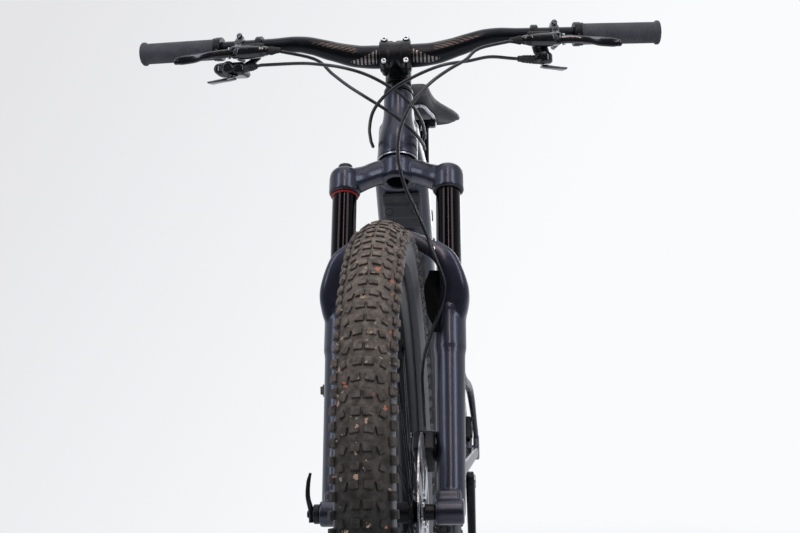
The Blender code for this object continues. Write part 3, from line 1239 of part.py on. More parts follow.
def make_dropper_remote(steering, lever):
    frame = bar_matrix(SHIFT_CLAMP_PLACE, 1)
    body = add("dropper_remote", clamp_ring(SHIFT_CLAMP_PLACE, 1, 0.009), plastic(), steering)
    post = [frame @ Vector((-0.0155, -0.003, 0)), frame @ REMOTE_ARM_END]
    barrel = rod(frame @ REMOTE_BARREL_ROOT, frame @ REMOTE_BARREL_END, 0.0065, 12, 0.0045)
    join(body, swept(post, [(0.0050, 0.006)] * 2, 10, 2.4, X), barrel)
    root = frame @ DROPPER_HINGE
    route = ((0, 0.004, -0.006), (-0.002, 0.006, 0.010), (-0.003, 0.014, 0.030))
    sizes = [(0.0025, 0.007), (0.0022, 0.007), (0.0022, 0.010)]
    add("dropper_lever", thumb_piece(root, route, sizes, frame), gloss_black(), lever)


def make_lockout_knob(knob):
    place = STEERING @ Matrix.Translation((-LEG_X, -LEG_OFFSET, CUP_TOP + GAP))
    profile = ((0, 0), (KNOB_RADIUS, 0), (KNOB_RADIUS, KNOB_HEIGHT * 0.7),
               (KNOB_RADIUS * 0.8, KNOB_HEIGHT), (0, KNOB_HEIGHT))
    add("lockout_knob", turned(profile, 18, place), plastic(), knob)


def make_caliper(name, slot_x, matrix, parent):
    """A two-piston caliper; its slot straddles the disc's edge."""
    half, reach = CALIPER_WIDTH / 2, CALIPER_LENGTH / 2
    body = block((slot_x - half, -0.017, -reach), (slot_x + half, CALIPER_BACK, reach), matrix, 0.004)
    caliper = add(name, body, gloss_black(), parent)
    cut(caliper, block((slot_x - 0.0022, -0.030, -0.040), (slot_x + 0.0022, 0.010, 0.040), matrix))


# Hoses and cable housings, each from its control to the frame or to the front caliper, as points
# in the steering frame
REAR_BRAKE_HOSE = (
    (-0.117, -0.080, 0.680), (-0.091, -0.079, 0.654), (-0.066, -0.085, 0.627), (-0.039, -0.091, 0.602),
    (-0.009, -0.085, 0.582), (0.016, -0.062, 0.572), (0.031, -0.031, 0.571), (0.038, 0.000, 0.574),
    (0.0385, 0.013, 0.575))
SHIFT_HOUSING = (
    (-0.140, -0.088, 0.668), (-0.107, -0.109, 0.650), (-0.071, -0.123, 0.633), (-0.033, -0.127, 0.615),
    (0.003, -0.112, 0.599), (0.027, -0.079, 0.592), (0.038, -0.038, 0.590), (0.040, -0.002, 0.592),
    (0.0385, 0.011, 0.593))
DROPPER_HOUSING = (
    (0.140, -0.083, 0.669), (0.109, -0.106, 0.647), (0.073, -0.124, 0.629), (0.035, -0.129, 0.609),
    (-0.002, -0.121, 0.590), (-0.027, -0.091, 0.580), (-0.038, -0.045, 0.579), (-0.040, -0.003, 0.582),
    (-0.0385, 0.013, 0.583))
FRONT_BRAKE_HOSE = (
    (0.126, -0.101, 0.672), (0.106, -0.118, 0.641), (0.081, -0.134, 0.613), (0.056, -0.145, 0.584),
    (0.032, -0.147, 0.552), (0.015, -0.139, 0.516), (0.011, -0.126, 0.479), (0.019, -0.111, 0.442),
    (0.034, -0.096, 0.408))
# The lower half runs in front of the arch and its clip, then round to the inside of the left leg
FRONT_BRAKE_HOSE_LOWER = (
    (0.049, -0.080, 0.376), (0.060, -0.078, 0.343), (0.070, -0.068, 0.314), (0.068, -0.059, 0.293),
    (0.0625, -0.054, 0.275), (0.052, -0.048, 0.250), (0.0425, -0.043, 0.222), (0.038, -0.035, 0.194),
    (0.0385, -0.024, 0.165))


def steered(points):
    return [STEERING @ Vector(point) for point in points]


def hose(name, points, parent=None):
    """A round hose; its first and last stretch run straight out of what holds them."""
    ends = [Vector(points[0])], [Vector(points[-1])]
    middle = [Vector(point) for point in points[1:-1]]
    length = sum((b - a).length for a, b in zip(middle, middle[1:]))
    path = ends[0] + smooth_path(middle, round(length / (6 * HOSE_RADIUS))) + ends[1]
    count = len(path)
    curve = bpy.data.curves.new(name, "CURVE")
    curve.dimensions = "3D"
    curve.bevel_depth = HOSE_RADIUS
    curve.bevel_resolution = 2
    curve.use_fill_caps = True
    spline = curve.splines.new("POLY")
    spline.points.add(count - 1)
    inverse = parent.matrix_world.inverted() if parent else Matrix.Identity(4)
    for spot, point in zip(spline.points, path):
        spot.co = (*(inverse @ point), 1)
    curve.materials.append(rubber())
    piece = bpy.data.objects.new(name, curve)
    piece.parent = parent
    bpy.context.collection.objects.link(piece)


def master_exit(side):
    frame = bar_matrix(BRAKE_CLAMP_PLACE, side)
    start = frame @ Vector((-MASTER_DROP, -MASTER_FORWARD, -MASTER_LENGTH - GAP))
    return start, start - frame.to_3x3() @ Z * HOSE_STRAIGHT


def barrel_exit(side, root, end):
    """The first straight stretch of the housing that leaves a control's barrel adjuster."""
    frame = bar_matrix(SHIFT_CLAMP_PLACE, side)
    start = frame @ end
    away = (start - frame @ root).normalized()
    return start + away * GAP, start + away * HOSE_STRAIGHT


def make_hoses(steering, caliper_port, caliper_out):
    hose("rear_brake_hose", [*master_exit(-1), *steered(REAR_BRAKE_HOSE)], steering)
    route = steered(FRONT_BRAKE_HOSE + FRONT_BRAKE_HOSE_LOWER)
    ends = [caliper_port + caliper_out * HOSE_STRAIGHT, caliper_port]
    hose("front_brake_hose", [*master_exit(1), *route, *ends], steering)
    shift_exit = barrel_exit(-1, SHIFT_BARREL_ROOT, SHIFT_BARREL_END)
    hose("shift_housing", [*shift_exit, *steered(SHIFT_HOUSING)], steering)
    dropper_exit = barrel_exit(1, REMOTE_BARREL_ROOT, REMOTE_BARREL_END)
    hose("dropper_housing", [*dropper_exit, *steered(DROPPER_HOUSING)], steering)


def make_wheel(name, centre, parent, width, flanges, driver=0.0):
    make_tyre(f"{name}_tyre", centre, parent)
    make_rim(f"{name}_rim", centre, parent)
    make_hub(f"{name}_hub", centre, parent, width, *flanges, driver)
    make_rotor(f"{name}_rotor", centre, parent, width)


def build():
    clear_scene()
    make_frame()
    make_motor_and_battery()
    make_rear_triangle()
    make_headset()

    steering = pivot("steering_pivot", STEER_FOOT, turn=STEERING.to_3x3().to_4x4())
    lowers = pivot("fork_pivot", FRONT_AXLE, steering, STEERING.to_3x3().to_4x4())
    make_fork(steering, lowers)
    lever_x = AXLE_END + AXLE_HEAD + 2 * GAP + AXLE_LEVER_THICKNESS / 2
    lever = pivot("axle_lever_pivot", FRONT_AXLE - lever_x * X, lowers)
    make_axle(lowers, lever)
    knob = pivot("knob_pivot", STEERING @ Vector((-LEG_X, -LEG_OFFSET, CUP_TOP)), steering)
    make_lockout_knob(knob)
    make_bar(steering)
    make_stem(steering)
    for side, name in ((1, "left"), (-1, "right")):
        make_brake(name, side, steering, pivot(f"brake_{name}_pivot", lever_hinge(side), steering))
    shift = bar_matrix(SHIFT_CLAMP_PLACE, -1) @ SHIFT_PADDLE_HINGE
    make_shifter(steering, pivot("paddle_pivot", shift, steering))
    drop = bar_matrix(SHIFT_CLAMP_PLACE, 1) @ DROPPER_HINGE
    make_dropper_remote(steering, pivot("dropper_pivot", drop, steering))

    front = pivot("front_wheel_pivot", FRONT_AXLE, lowers)
    rear = pivot("rear_wheel_pivot", REAR_AXLE)
    make_wheel("front", FRONT_AXLE, front, HUB_WIDTH_FRONT, (0.026, 0.034))
    make_wheel("rear", REAR_AXLE, rear, HUB_WIDTH_REAR, (0.034, 0.026), 0.035)
    make_caliper("front_caliper", ROTOR_X_FRONT, FRONT_CALIPER, lowers)
    make_caliper("rear_caliper", ROTOR_X_REAR, REAR_CALIPER, None)

    make_cassette(pivot("cassette_pivot", REAR_AXLE))
    cranks = pivot("crank_pivot", CRANK)
    make_cranks(cranks)
    for side, down, name in ((1, -1, "pedal_left"), (-1, 1, "pedal_right")):
        eye = CRANK + Vector((0, 0, down * CRANK_LENGTH))
        make_pedal(name, side, pivot(f"{name}_pivot", eye, cranks))
    make_derailleur(pivot("cage_pivot", Vector((COG_X - 0.006, *UPPER_PULLEY))))
    make_chain()
    dropper = pivot("dropper_post_pivot", SEATING @ Vector((0, 0, RAIL_PLACE)))
    make_seat(dropper)
    port = FRONT_CALIPER @ Vector((ROTOR_X_FRONT, CALIPER_BACK + GAP, 0.010))
    make_hoses(steering, port, FRONT_CALIPER.to_3x3() @ Y)


build()
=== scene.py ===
"""An electric mountain bike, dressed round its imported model.

The front points to -Y, the rider's left is +X and up is +Z, in metres. The sections follow the
order in which such a bike is put together.
"""

from math import acos, atan2, ceil, copysign, cos, pi, radians, sin, tau

import bmesh
import bpy
from mathutils import Matrix, Vector


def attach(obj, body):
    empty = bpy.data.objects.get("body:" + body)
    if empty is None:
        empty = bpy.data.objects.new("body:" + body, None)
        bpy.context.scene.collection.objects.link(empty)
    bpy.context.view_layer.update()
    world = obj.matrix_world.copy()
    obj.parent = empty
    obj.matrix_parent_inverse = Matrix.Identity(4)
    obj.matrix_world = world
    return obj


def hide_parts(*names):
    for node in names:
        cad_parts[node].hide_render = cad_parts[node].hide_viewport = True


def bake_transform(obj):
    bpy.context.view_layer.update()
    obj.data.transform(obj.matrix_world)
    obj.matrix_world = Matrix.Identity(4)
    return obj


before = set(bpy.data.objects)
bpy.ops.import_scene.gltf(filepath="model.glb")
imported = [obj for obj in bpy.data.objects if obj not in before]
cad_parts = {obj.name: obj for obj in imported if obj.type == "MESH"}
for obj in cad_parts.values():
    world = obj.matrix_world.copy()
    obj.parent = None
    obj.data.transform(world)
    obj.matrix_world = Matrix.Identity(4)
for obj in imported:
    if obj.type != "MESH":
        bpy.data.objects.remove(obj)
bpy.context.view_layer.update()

# STUDIO
# A pale floor that fades into an even white surround. A narrow strip and two tall panels stand in
# front, so that the tubes carry long soft highlights, with a wide panel above and one behind.


def hex_colour(code):
    """An sRGB hex value as the linear colour that Blender's nodes take."""
    parts = [int(code[i : i + 2], 16) / 255 for i in (0, 2, 4)]
    return (*[((c + 0.055) / 1.055) ** 2.4 if c > 0.04045 else c / 12.92 for c in parts], 1)


def add_node(tree, kind, inputs=(), **settings):
    """Adds a node; inputs holds, by socket, a value, an output, or a node whose first output feeds it."""
    node = tree.nodes.new(f"ShaderNode{kind}")
    for name, value in settings.items():
        setattr(node, name, value)
    for socket, value in dict(inputs).items():
        if isinstance(value, bpy.types.Node):
            value = value.outputs[0]
        if isinstance(value, bpy.types.NodeSocket):
            tree.links.new(value, node.inputs[socket])
        else:
            node.inputs[socket].default_value = value
    return node


scene = bpy.context.scene
camera = bpy.data.objects.new("camera", bpy.data.cameras.new("camera"))
scene.collection.objects.link(camera)
scene.camera = camera
camera.data.lens = 63.58
camera.data.sensor_width = 36
yaw, pitch, roll = 0.0745, 0.0671, 0.0259
across = Vector((cos(yaw), sin(yaw), 0))
ahead = Vector((-sin(yaw), cos(yaw), 0))
view = ahead * cos(pitch) + Vector((0, 0, sin(pitch)))
above = Vector((0, 0, cos(pitch))) - ahead * sin(pitch)
turn = Matrix((across * cos(roll) - above * sin(roll), across * sin(roll) + above * cos(roll), -view))
camera.matrix_world = Matrix.Translation((0.1531, -2.4163, 0.5636)) @ turn.transposed().to_4x4()

scene.view_settings.view_transform = "Standard"
world = bpy.data.worlds.new("studio")
scene.world = world
world.use_nodes = True
tree = world.node_tree
path = add_node(tree, "LightPath")
seen = add_node(tree, "Math", {0: path.outputs["Is Camera Ray"], 1: path.outputs["Is Transmission Ray"]},
                operation="MAXIMUM")
facing = add_node(tree, "TexCoord")
apart = add_node(tree, "SeparateXYZ", {0: facing.outputs["Generated"]})
lean = add_node(tree, "Math", {0: apart.outputs[2], 1: -0.6, 2: apart}, operation="MULTIPLY_ADD")
fade = add_node(tree, "MapRange", {0: lean, 1: -0.45, 2: -0.02})
white = add_node(tree, "Mix", {0: fade, 6: hex_colour("e5e5e8"), 7: hex_colour("f9fbfd")}, data_type="RGBA")
# What the finishes mirror: white behind and above the bike, and a dark room in front of it
room = add_node(tree, "MapRange", {0: apart.outputs[1], 1: -0.85, 2: 0.45, 3: 0.05, 4: 0.9},
                interpolation_type="SMOOTHSTEP")
mirrored = add_node(tree, "Background", {"Color": hex_colour("eef1f8"), "Strength": room})
ambient = add_node(tree, "Background", {"Color": hex_colour("eceff4"), "Strength": 0.55})
backdrop = add_node(tree, "Background", {"Color": white.outputs[2], "Strength": 1.0})
unseen = add_node(tree, "MixShader", {0: path.outputs["Is Glossy Ray"], 1: ambient, 2: mirrored})
mixed = add_node(tree, "MixShader", {0: seen, 1: unseen, 2: backdrop})
tree.links.new(mixed.outputs[0], tree.nodes["World Output"].inputs["Surface"])


def lamp(name, place, target, width, height, power, colour="ffffff"):
    """A soft rectangular lamp that faces a point on the bike."""
    light = bpy.data.lights.new(name, "AREA")
    light.shape = "RECTANGLE"
    light.size, light.size_y = width, height
    light.energy = power
    light.color = hex_colour(colour)[:3]
    made = bpy.data.objects.new(name, light)
    scene.collection.objects.link(made)
    toward = Vector(target) - Vector(place)
    made.matrix_world = Matrix.Translation(place) @ toward.to_track_quat("-Z", "Y").to_matrix().to_4x4()


lamp("front_strip", (0.15, -2.5, 3.1), (0, -0.6, 0.75), 0.22, 2.6, 25, "ffece4")
lamp("front_left_panel", (1.9, -2.0, 2.4), (0, -0.4, 0.6), 0.7, 2.4, 34, "e8eeff")
lamp("front_right_panel", (-2.1, -1.9, 2.4), (0, -0.4, 0.6), 0.7, 2.4, 30, "e4ecff")
lamp("ceiling_panel", (0.0, -0.1, 3.2), (0, 0, 0.5), 2.4, 3.2, 24)
lamp("rear_panel", (0.8, 3.0, 1.8), (0, 0.3, 0.6), 1.6, 1.6, 18)

# White floor paper, matt; far from the bike it lets the eye through to the white surround
paper = bpy.data.materials.new("white_floor_paper")
paper.use_nodes = True
tree = paper.node_tree
surface = tree.nodes["Principled BSDF"]
surface.inputs["Base Color"].default_value = hex_colour("e9ebef")
surface.inputs["Roughness"].default_value = 0.9
surface.inputs["Specular IOR Level"].default_value = 0.1
spot = add_node(tree, "TexCoord")
away = add_node(tree, "VectorMath", {0: spot.outputs["Object"]}, operation="LENGTH")
distance = add_node(tree, "MapRange", {0: away.outputs["Value"], 1: 1.1, 2: 2.6},
                    interpolation_type="SMOOTHSTEP")
path = add_node(tree, "LightPath")
straight = add_node(tree, "Math", {0: path.outputs["Is Camera Ray"], 1: path.outputs["Is Glossy Ray"]},
                    operation="MAXIMUM")
through = add_node(tree, "Math", {0: distance, 1: straight}, operation="MULTIPLY")
clear = add_node(tree, "BsdfTransparent")
mixed = add_node(tree, "MixShader", {0: through, 1: surface, 2: clear})
tree.links.new(mixed.outputs[0], tree.nodes["Material Output"].inputs["Surface"])
sheet = bmesh.new()
bmesh.ops.create_grid(sheet, x_segments=1, y_segments=1, size=9)
mesh = bpy.data.meshes.new("floor")
sheet.to_mesh(mesh)
sheet.free()
mesh.materials.append(paper)
floor = bpy.data.objects.new("floor", mesh)
scene.collection.objects.link(floor)

# FRONT TRIANGLE
# Welded 6061 alloy tubes: a tapered head tube, a broad boxed down tube with room for the battery,
# a top tube and a seat tube. The welds are filled and smoothed, so the tubes flow into each other,
# under a satin dark lacquer over deep blue grey flake.

UPRIGHT = Vector((0, 0, 1))
SIDEWAYS = Vector((1, 0, 0))
FRONT_AXLE = Vector((0, -0.61, 0.372))
REAR_AXLE = Vector((0, 0.61, 0.372))
CRANK = Vector((0, 0.15, 0.345))
HEAD_LEAN = radians(66.75)
STEER_BACK = Vector((0, sin(HEAD_LEAN), -cos(HEAD_LEAN)))
STEERING = Matrix.Translation(FRONT_AXLE + 0.044 * STEER_BACK) @ Matrix.Rotation(HEAD_LEAN - pi / 2, 4, "X")
SEAT_LEAN = radians(75.5)
SEATING = Matrix.Translation(CRANK + Vector((0, 0.008, 0.051))) @ Matrix.Rotation(SEAT_LEAN - pi / 2, 4, "X")
GAP = 0.0003
IN_PLACE = Matrix.Identity(4)
SIDES = ((-1, "right"), (1, "left"))


def mm(text):
    """Points in metres, from millimetres with a comma after each point."""
    return [tuple(float(f"{number}e-3") for number in point.split()) for point in text.split(",")]


def placed(matrix, points, side=1):
    """Points of a part's left side, put in place, or mirrored to the right first."""
    return [matrix @ Vector((side * x, y, z)) for x, y, z in points]


def on_fork(x, y, z):
    return STEERING @ Vector((x, y, z))


def at(matrix, *place):
    return matrix @ Matrix.Translation(place)


def frame_on(origin, axis, side=SIDEWAYS):
    """A matrix whose z lies along axis and whose x lies near side."""
    along = Vector(axis).normalized()
    back = along.cross(side).normalized()
    turn = Matrix((back.cross(along), back, along)).transposed().to_4x4()
    return Matrix.Translation(origin) @ turn


def wheelwise(origin, side=1):
    """A matrix whose z points straight out to one side."""
    return frame_on(origin, SIDEWAYS * side, UPRIGHT)


def lathe(profile, steps, matrix=IN_PLACE, into=None):
    """Spins a section of (radius, height) round z; an open one starts and ends on the axis."""
    bm = bmesh.new()
    ring = [bm.verts.new((r, 0, h)) for r, h in profile]
    pairs = list(zip(ring, ring[1:]))
    if profile[0][0] > 0:
        pairs.append((ring[-1], ring[0]))
    edges = [bm.edges.new(pair) for pair in pairs]
    bmesh.ops.spin(bm, geom=ring + edges, axis=(0, 0, 1), angle=tau, steps=steps, use_merge=True)
    bmesh.ops.remove_doubles(bm, verts=bm.verts, dist=1e-6)
    return fitted(bm, matrix, into)


def fitted(bm, matrix, into=None):
    """Puts a shape in its place with its faces outward, and adds it to another if asked."""
    bm.transform(matrix)
    bmesh.ops.recalc_face_normals(bm, faces=bm.faces)
    if into is None:
        return bm
    mesh = bpy.data.meshes.new("part")
    bm.to_mesh(mesh)
    bm.free()
    into.from_mesh(mesh)
    bpy.data.meshes.remove(mesh)
    return into


def hoop(bm, matrix, half_x, half_y, points, square=2.0):
    """A ring of edges; square 2 is an ellipse and more is boxier."""
    verts = bmesh.ops.create_circle(bm, segments=points, radius=1)["verts"]
    for v in verts:
        x, y = v.co.x, v.co.y
        v.co = matrix @ Vector((half_x * copysign(abs(x) ** (2 / square), x),
                                half_y * copysign(abs(y) ** (2 / square), y), 0))
    return [e for e in bm.edges if e.verts[0] in verts]


def loft(stations, points=32, into=None):
    """A skin through hoops; each station is (matrix, half x, half y, squareness)."""
    bm = bmesh.new()
    loops = [hoop(bm, matrix, x, y, points, square) for matrix, x, y, square in stations]
    skinned(bm, loops)
    return fitted(bm, IN_PLACE, into)


def skinned(bm, loops):
    """Joins each loop to the next and closes both ends."""
    for near, far in zip(loops, loops[1:]):
        bmesh.ops.bridge_loops(bm, edges=near + far)
    for loop in (loops[0], loops[-1]):
        bmesh.ops.contextual_create(bm, geom=loop)


def curve_through(points, count):
    """Evenly many points on a Catmull-Rom curve through the given points."""
    points = [Vector(p) for p in points]
    padded = [2 * points[0] - points[1]] + points + [2 * points[-1] - points[-2]]
    path = []
    for i in range(count):
        place = i * (len(points) - 1) / (count - 1)
        k = min(int(place), len(points) - 2)
        t = place - k
        a, b, c, d = padded[k : k + 4]
        path.append(0.5 * (2 * b + (c - a) * t + (2 * a - 5 * b + 4 * c - d) * t**2
                           + (3 * b - a - 3 * c + d) * t**3))
    return path


def blended(values, share):
    """The value at a share of the way along a list, eased between its entries."""
    place = share * (len(values) - 1)
    k = min(int(place), len(values) - 2)
    t = place - k
    t = t * t * (3 - 2 * t)
    return [a + (b - a) * t for a, b in zip(values[k], values[k + 1])]


def sweep_along(points, sizes, count, square=2.0, side=SIDEWAYS, sides=24, into=None):
    """A skin along a curve; sizes holds (half width, half depth) at even places along it."""
    path = curve_through(points, count)
    stations = []
    for i, centre in enumerate(path):
        heading = path[min(i + 1, count - 1)] - path[max(i - 1, 0)]
        half_x, half_y = blended(sizes, i / (count - 1))
        stations.append((frame_on(centre, heading, side), half_x, half_y, square))
    return loft(stations, sides, into)


def block(near, far, matrix=IN_PLACE, ease=0.0, segments=3, into=None):
    """A box between two corners with rounded edges."""
    low = Vector([min(pair) for pair in zip(near, far)])
    high = Vector([max(pair) for pair in zip(near, far)])
    bm = bmesh.new()
    place = Matrix.Translation((low + high) / 2) @ Matrix.Diagonal((*(high - low), 1))
    bmesh.ops.create_cube(bm, size=1, matrix=place)
    if ease:
        bmesh.ops.bevel(bm, geom=bm.edges[:], offset=ease, segments=segments, profile=0.5, affect="EDGES",
                        material=-1)
    return fitted(bm, matrix, into)


def rod(start, end, radius, steps=32, ease=0.0, end_radius=None, into=None):
    """A round bar between two points, with its ends chamfered by ease."""
    start, end = Vector(start), Vector(end)
    length = (end - start).length
    tip = radius if end_radius is None else end_radius
    side = UPRIGHT if abs((end - start).normalized().x) > 0.9 else SIDEWAYS
    profile = [(0, 0), (radius - ease, 0), (radius, ease), (tip, length - ease), (tip - ease, length),
               (0, length)]
    return lathe(profile if ease else [(0, 0), (radius, 0), (tip, length), (0, length)], steps,
                 frame_on(start, end - start, side), into)


def rod_in(matrix, start, end, radius, *rest, into=None):
    """A rod between two points given within a matrix."""
    return rod(matrix @ Vector(start), matrix @ Vector(end), radius, *rest, into=into)


def crossbar(centre, start, end, radius, *rest, into=None):
    """A rod straight across the bike, from start to end metres left of a point."""
    return rod(centre + start * SIDEWAYS, centre + end * SIDEWAYS, radius, *rest, into=into)


def side_plate(outline, low, high, ease=0.0, segments=2, into=None):
    """A side-view outline of (y, z) points, thick from x = low to x = high."""
    bm = bmesh.new()
    face = bm.faces.new([bm.verts.new((low, y, z)) for y, z in outline])
    grown = bmesh.ops.extrude_face_region(bm, geom=[face])["geom"]
    bmesh.ops.translate(bm, verts=[v for v in grown if isinstance(v, bmesh.types.BMVert)],
                        vec=(high - low, 0, 0))
    if ease:
        rim = [e for e in bm.edges if abs(e.verts[0].co.x - e.verts[1].co.x) < 1e-6]
        bmesh.ops.bevel(bm, geom=rim, offset=ease, segments=segments, profile=0.5, affect="EDGES",
                        material=-1)
    return fitted(bm, IN_PLACE, into)


def treated(bm, steps):
    """Applies modifiers, given as (kind, settings), to a shape."""
    mesh = bpy.data.meshes.new("blank")
    bm.to_mesh(mesh)
    bm.free()
    blank = bpy.data.objects.new("blank", mesh)
    scene.collection.objects.link(blank)
    for kind, settings in steps:
        modifier = blank.modifiers.new(kind, kind)
        for name, value in settings.items():
            setattr(modifier, name, value)
    bpy.context.view_layer.update()
    result = bmesh.new()
    result.from_object(blank, bpy.context.evaluated_depsgraph_get())
    bpy.data.objects.remove(blank)
    bpy.data.meshes.remove(mesh)
    return result


def cast(bm, voxel, rounds=6):
    """Fuses shells that reach into each other into one skin with eased corners, as in a casting."""
    return treated(bm, [("REMESH", {"mode": "VOXEL", "voxel_size": voxel}),
                        ("SMOOTH", {"factor": 0.5, "iterations": rounds})])


def carved(bm, *tools):
    """Cuts shapes out of another."""
    cutters = []
    for tool in tools:
        mesh = bpy.data.meshes.new("cutter")
        tool.to_mesh(mesh)
        tool.free()
        cutter = bpy.data.objects.new("cutter", mesh)
        scene.collection.objects.link(cutter)
        cutters.append(cutter)
    steps = [("BOOLEAN", {"operation": "DIFFERENCE", "solver": "EXACT", "object": cutter})
             for cutter in cutters]
    bm = treated(bm, steps)
    for cutter in cutters:
        bpy.data.meshes.remove(cutter.data)
    return bm


def piece(name, bm, finish, corner=35):
    """Makes a visible object of a shape and gives it its finish."""
    mesh = bpy.data.meshes.new(name)
    bm.to_mesh(mesh)
    bm.free()
    mesh.materials.append(finish)
    mesh.shade_smooth()
    mesh.set_sharp_from_angle(angle=radians(corner))
    made = bpy.data.objects.new(name, mesh)
    scene.collection.objects.link(made)
    return made


def show(name, bm, finish, body, slot, *nodes, corner=35):
    """Makes a piece and hangs it on its body of the model."""
    made = piece(name, bm, finish, corner)
    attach(made, body)
    if nodes:
        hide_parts(*nodes)
    return made


def finish(name, colour, roughness, metallic=0.0, **sockets):
    """Starts a material; sockets are the shader's own, with _ for a space."""
    made = bpy.data.materials.new(name)
    made.use_nodes = True
    shader = made.node_tree.nodes["Principled BSDF"]
    shader.inputs["Base Color"].default_value = hex_colour(colour)
    shader.inputs["Roughness"].default_value = roughness
    shader.inputs["Metallic"].default_value = metallic
    for socket, value in sockets.items():
        shader.inputs[socket.replace("_", " ")].default_value = value
    place = add_node(made.node_tree, "TexCoord").outputs["Object"]
    return made, made.node_tree, shader, place


def grained(tree, shader, place, size, depth, detail=3, rough=None, height=None):
    """Gives a surface fine grain of a real size in metres: bump, and a spread of roughness."""
    grain = add_node(tree, "TexNoise", {"Vector": place, "Scale": 1 / size, "Detail": detail})
    bump = add_node(tree, "Bump", {"Height": height or grain.outputs[0], "Strength": 0.5, "Distance": depth})
    tree.links.new(bump.outputs[0], shader.inputs["Normal"])
    if rough:
        spread = add_node(tree, "MapRange", {0: grain, 1: 0.3, 2: 0.7, 3: rough[0], 4: rough[1]})
        tree.links.new(spread.outputs[0], shader.inputs["Roughness"])


def dusted(tree, shader, place, colour, dust, low, high, size=0.03):
    """Lays a thin film of dry dust over a colour, thicker in patches."""
    cloud = add_node(tree, "TexNoise", {"Vector": place, "Scale": 1 / size, "Detail": 6, "Roughness": 0.65})
    film = add_node(tree, "MapRange", {0: cloud, 1: low, 2: high, 3: 0.0, 4: 1.0})
    mix = add_node(tree, "Mix", {0: film, 6: hex_colour(colour), 7: hex_colour(dust)}, data_type="RGBA")
    tree.links.new(mix.outputs[2], shader.inputs["Base Color"])
    return mix


def plain_finish(name, colour, roughness, metallic, grain, rough, dust=(), **sockets):
    """A finish with only grain (size, depth) and, if given, dust (clean, dusty, low, high, size)."""
    made, *parts = finish(name, colour, roughness, metallic, **sockets)
    if dust:
        dusted(*parts, *dust)
    grained(*parts, *grain, rough=rough)
    return made


# Lacquer over metal flake: the clear coat gives a sharp soft-edged shine and the flake a deep blue
# grey under it, with fine road dust in patches
paint = plain_finish("metal_flake_lacquer", "2c2e3b", 0.38, 0.75, (0.0009, 0.00002), (0.34, 0.44),
                     ("2b2d3a", "38353a", 0.55, 0.85, 0.05), Coat_Weight=0.5, Coat_Roughness=0.20,
                     Coat_IOR=1.5)

HEAD_LOW = 0.548
HEAD_LENGTH = 0.116
HEAD = at(STEERING, 0, 0, HEAD_LOW)
DOWN_START = on_fork(0, 0, HEAD_LOW + 0.064)
MOTOR_NOSE = CRANK + Vector((0, -0.080, 0.045))
DOWN_REACH = (MOTOR_NOSE - DOWN_START).length
DOWN_TUBE = frame_on(DOWN_START, MOTOR_NOSE - DOWN_START)
DOWN_HALF = 0.036
BATTERY_LENGTH = 0.340
BATTERY_START = DOWN_REACH - 0.062 - 0.045 - BATTERY_LENGTH


def tangent_points(a, b, side_a, side_b):
    """Where a belt leaves circle a and meets circle b; a side is its turning sense."""
    (ca, ra), (cb, rb) = a, b
    gap = cb - ca
    angle = atan2(gap.y, gap.x) - acos((side_a * ra - side_b * rb) / gap.length)
    out = Vector((cos(angle), sin(angle)))
    return ca + out * ra * side_a, cb + out * rb * side_b


def belt(circles, sides, step):
    """A closed line of (y, z) points round circles, in arcs of about step metres."""
    count = len(circles)
    hits = [tangent_points(circles[i], circles[(i + 1) % count], sides[i], sides[(i + 1) % count])
            for i in range(count)]
    line = []
    for i, (centre, radius) in enumerate(circles):
        first, last = hits[i - 1][1] - centre, hits[i][0] - centre
        start = atan2(first.y, first.x)
        arc = (atan2(last.y, last.x) - start) * sides[i] % tau * sides[i]
        parts = max(2, ceil(abs(arc) * radius / step))
        for j in range(parts + 1):
            angle = start + arc * j / parts
            line.append(centre + radius * Vector((cos(angle), sin(angle))))
    return line


def motor_outline(grow):
    circles = [(CRANK.yz, 0.050 + grow), (MOTOR_NOSE.yz, 0.062 + grow)]
    return [tuple(p) for p in belt(circles, (1, 1), 0.004)]


tubes = bmesh.new()
head_profile = [(0, 0), (0.0290, 0), (0.0295, 0.001), (0.0295, 0.030), (0.0283, 0.042), (0.0250, 0.059),
                (0.0228, 0.072), (0.0220, 0.081), (0.0220, 0.115), (0.0215, HEAD_LENGTH), (0, HEAD_LENGTH)]
lathe(head_profile, 48, HEAD, tubes)
stations = []
for height, share in ((0.006, 0.03), (0.018, 0.12), (0.032, 0.25), (0.055, 0.54), (0.077, 0.83), (0.098, 1),
                      (0.15, 1), (0.30, 1), (0.45, 1), (DOWN_REACH, 1)):
    stations.append((at(DOWN_TUBE, 0, 0, height), 0.029 + 0.012 * share, 0.028 + 0.008 * share, 3.4))
loft(stations, 48, tubes)
top_start = on_fork(0, 0, HEAD_LOW + 0.084)
top_end = SEATING @ Vector((0, 0, 0.370))
top_tube = frame_on(top_start, top_end - top_start)
top_reach = (top_end - top_start).length
shares = ((0.01, 1, 1), (0.25, 0.96, 0.93), (0.5, 0.92, 0.86), (0.75, 0.82, 0.80), (0.99, 0.72, 0.74))
loft([(at(top_tube, 0, 0, top_reach * share), 0.023 * w, 0.024 * d, 2.6) for share, w, d in shares], 40,
     tubes)
lathe(mm("0 -30, 19 -30, 19 399, 18.5 400, 0 400"), 40, SEATING, tubes)
tubes = cast(tubes, 0.0022, 10)
room = block((-0.0303, DOWN_HALF - 0.0513, BATTERY_START - GAP),
             (0.0303, 0.06, BATTERY_START + BATTERY_LENGTH + GAP), DOWN_TUBE)
bore = lathe(mm("0 -10, 21 -10, 21 45, 17.8 70, 17.8 130, 0 130"), 40, HEAD)
post_bore = rod_in(SEATING, (0, 0, 0.03), (0, 0, 0.42), 0.0161, 40)
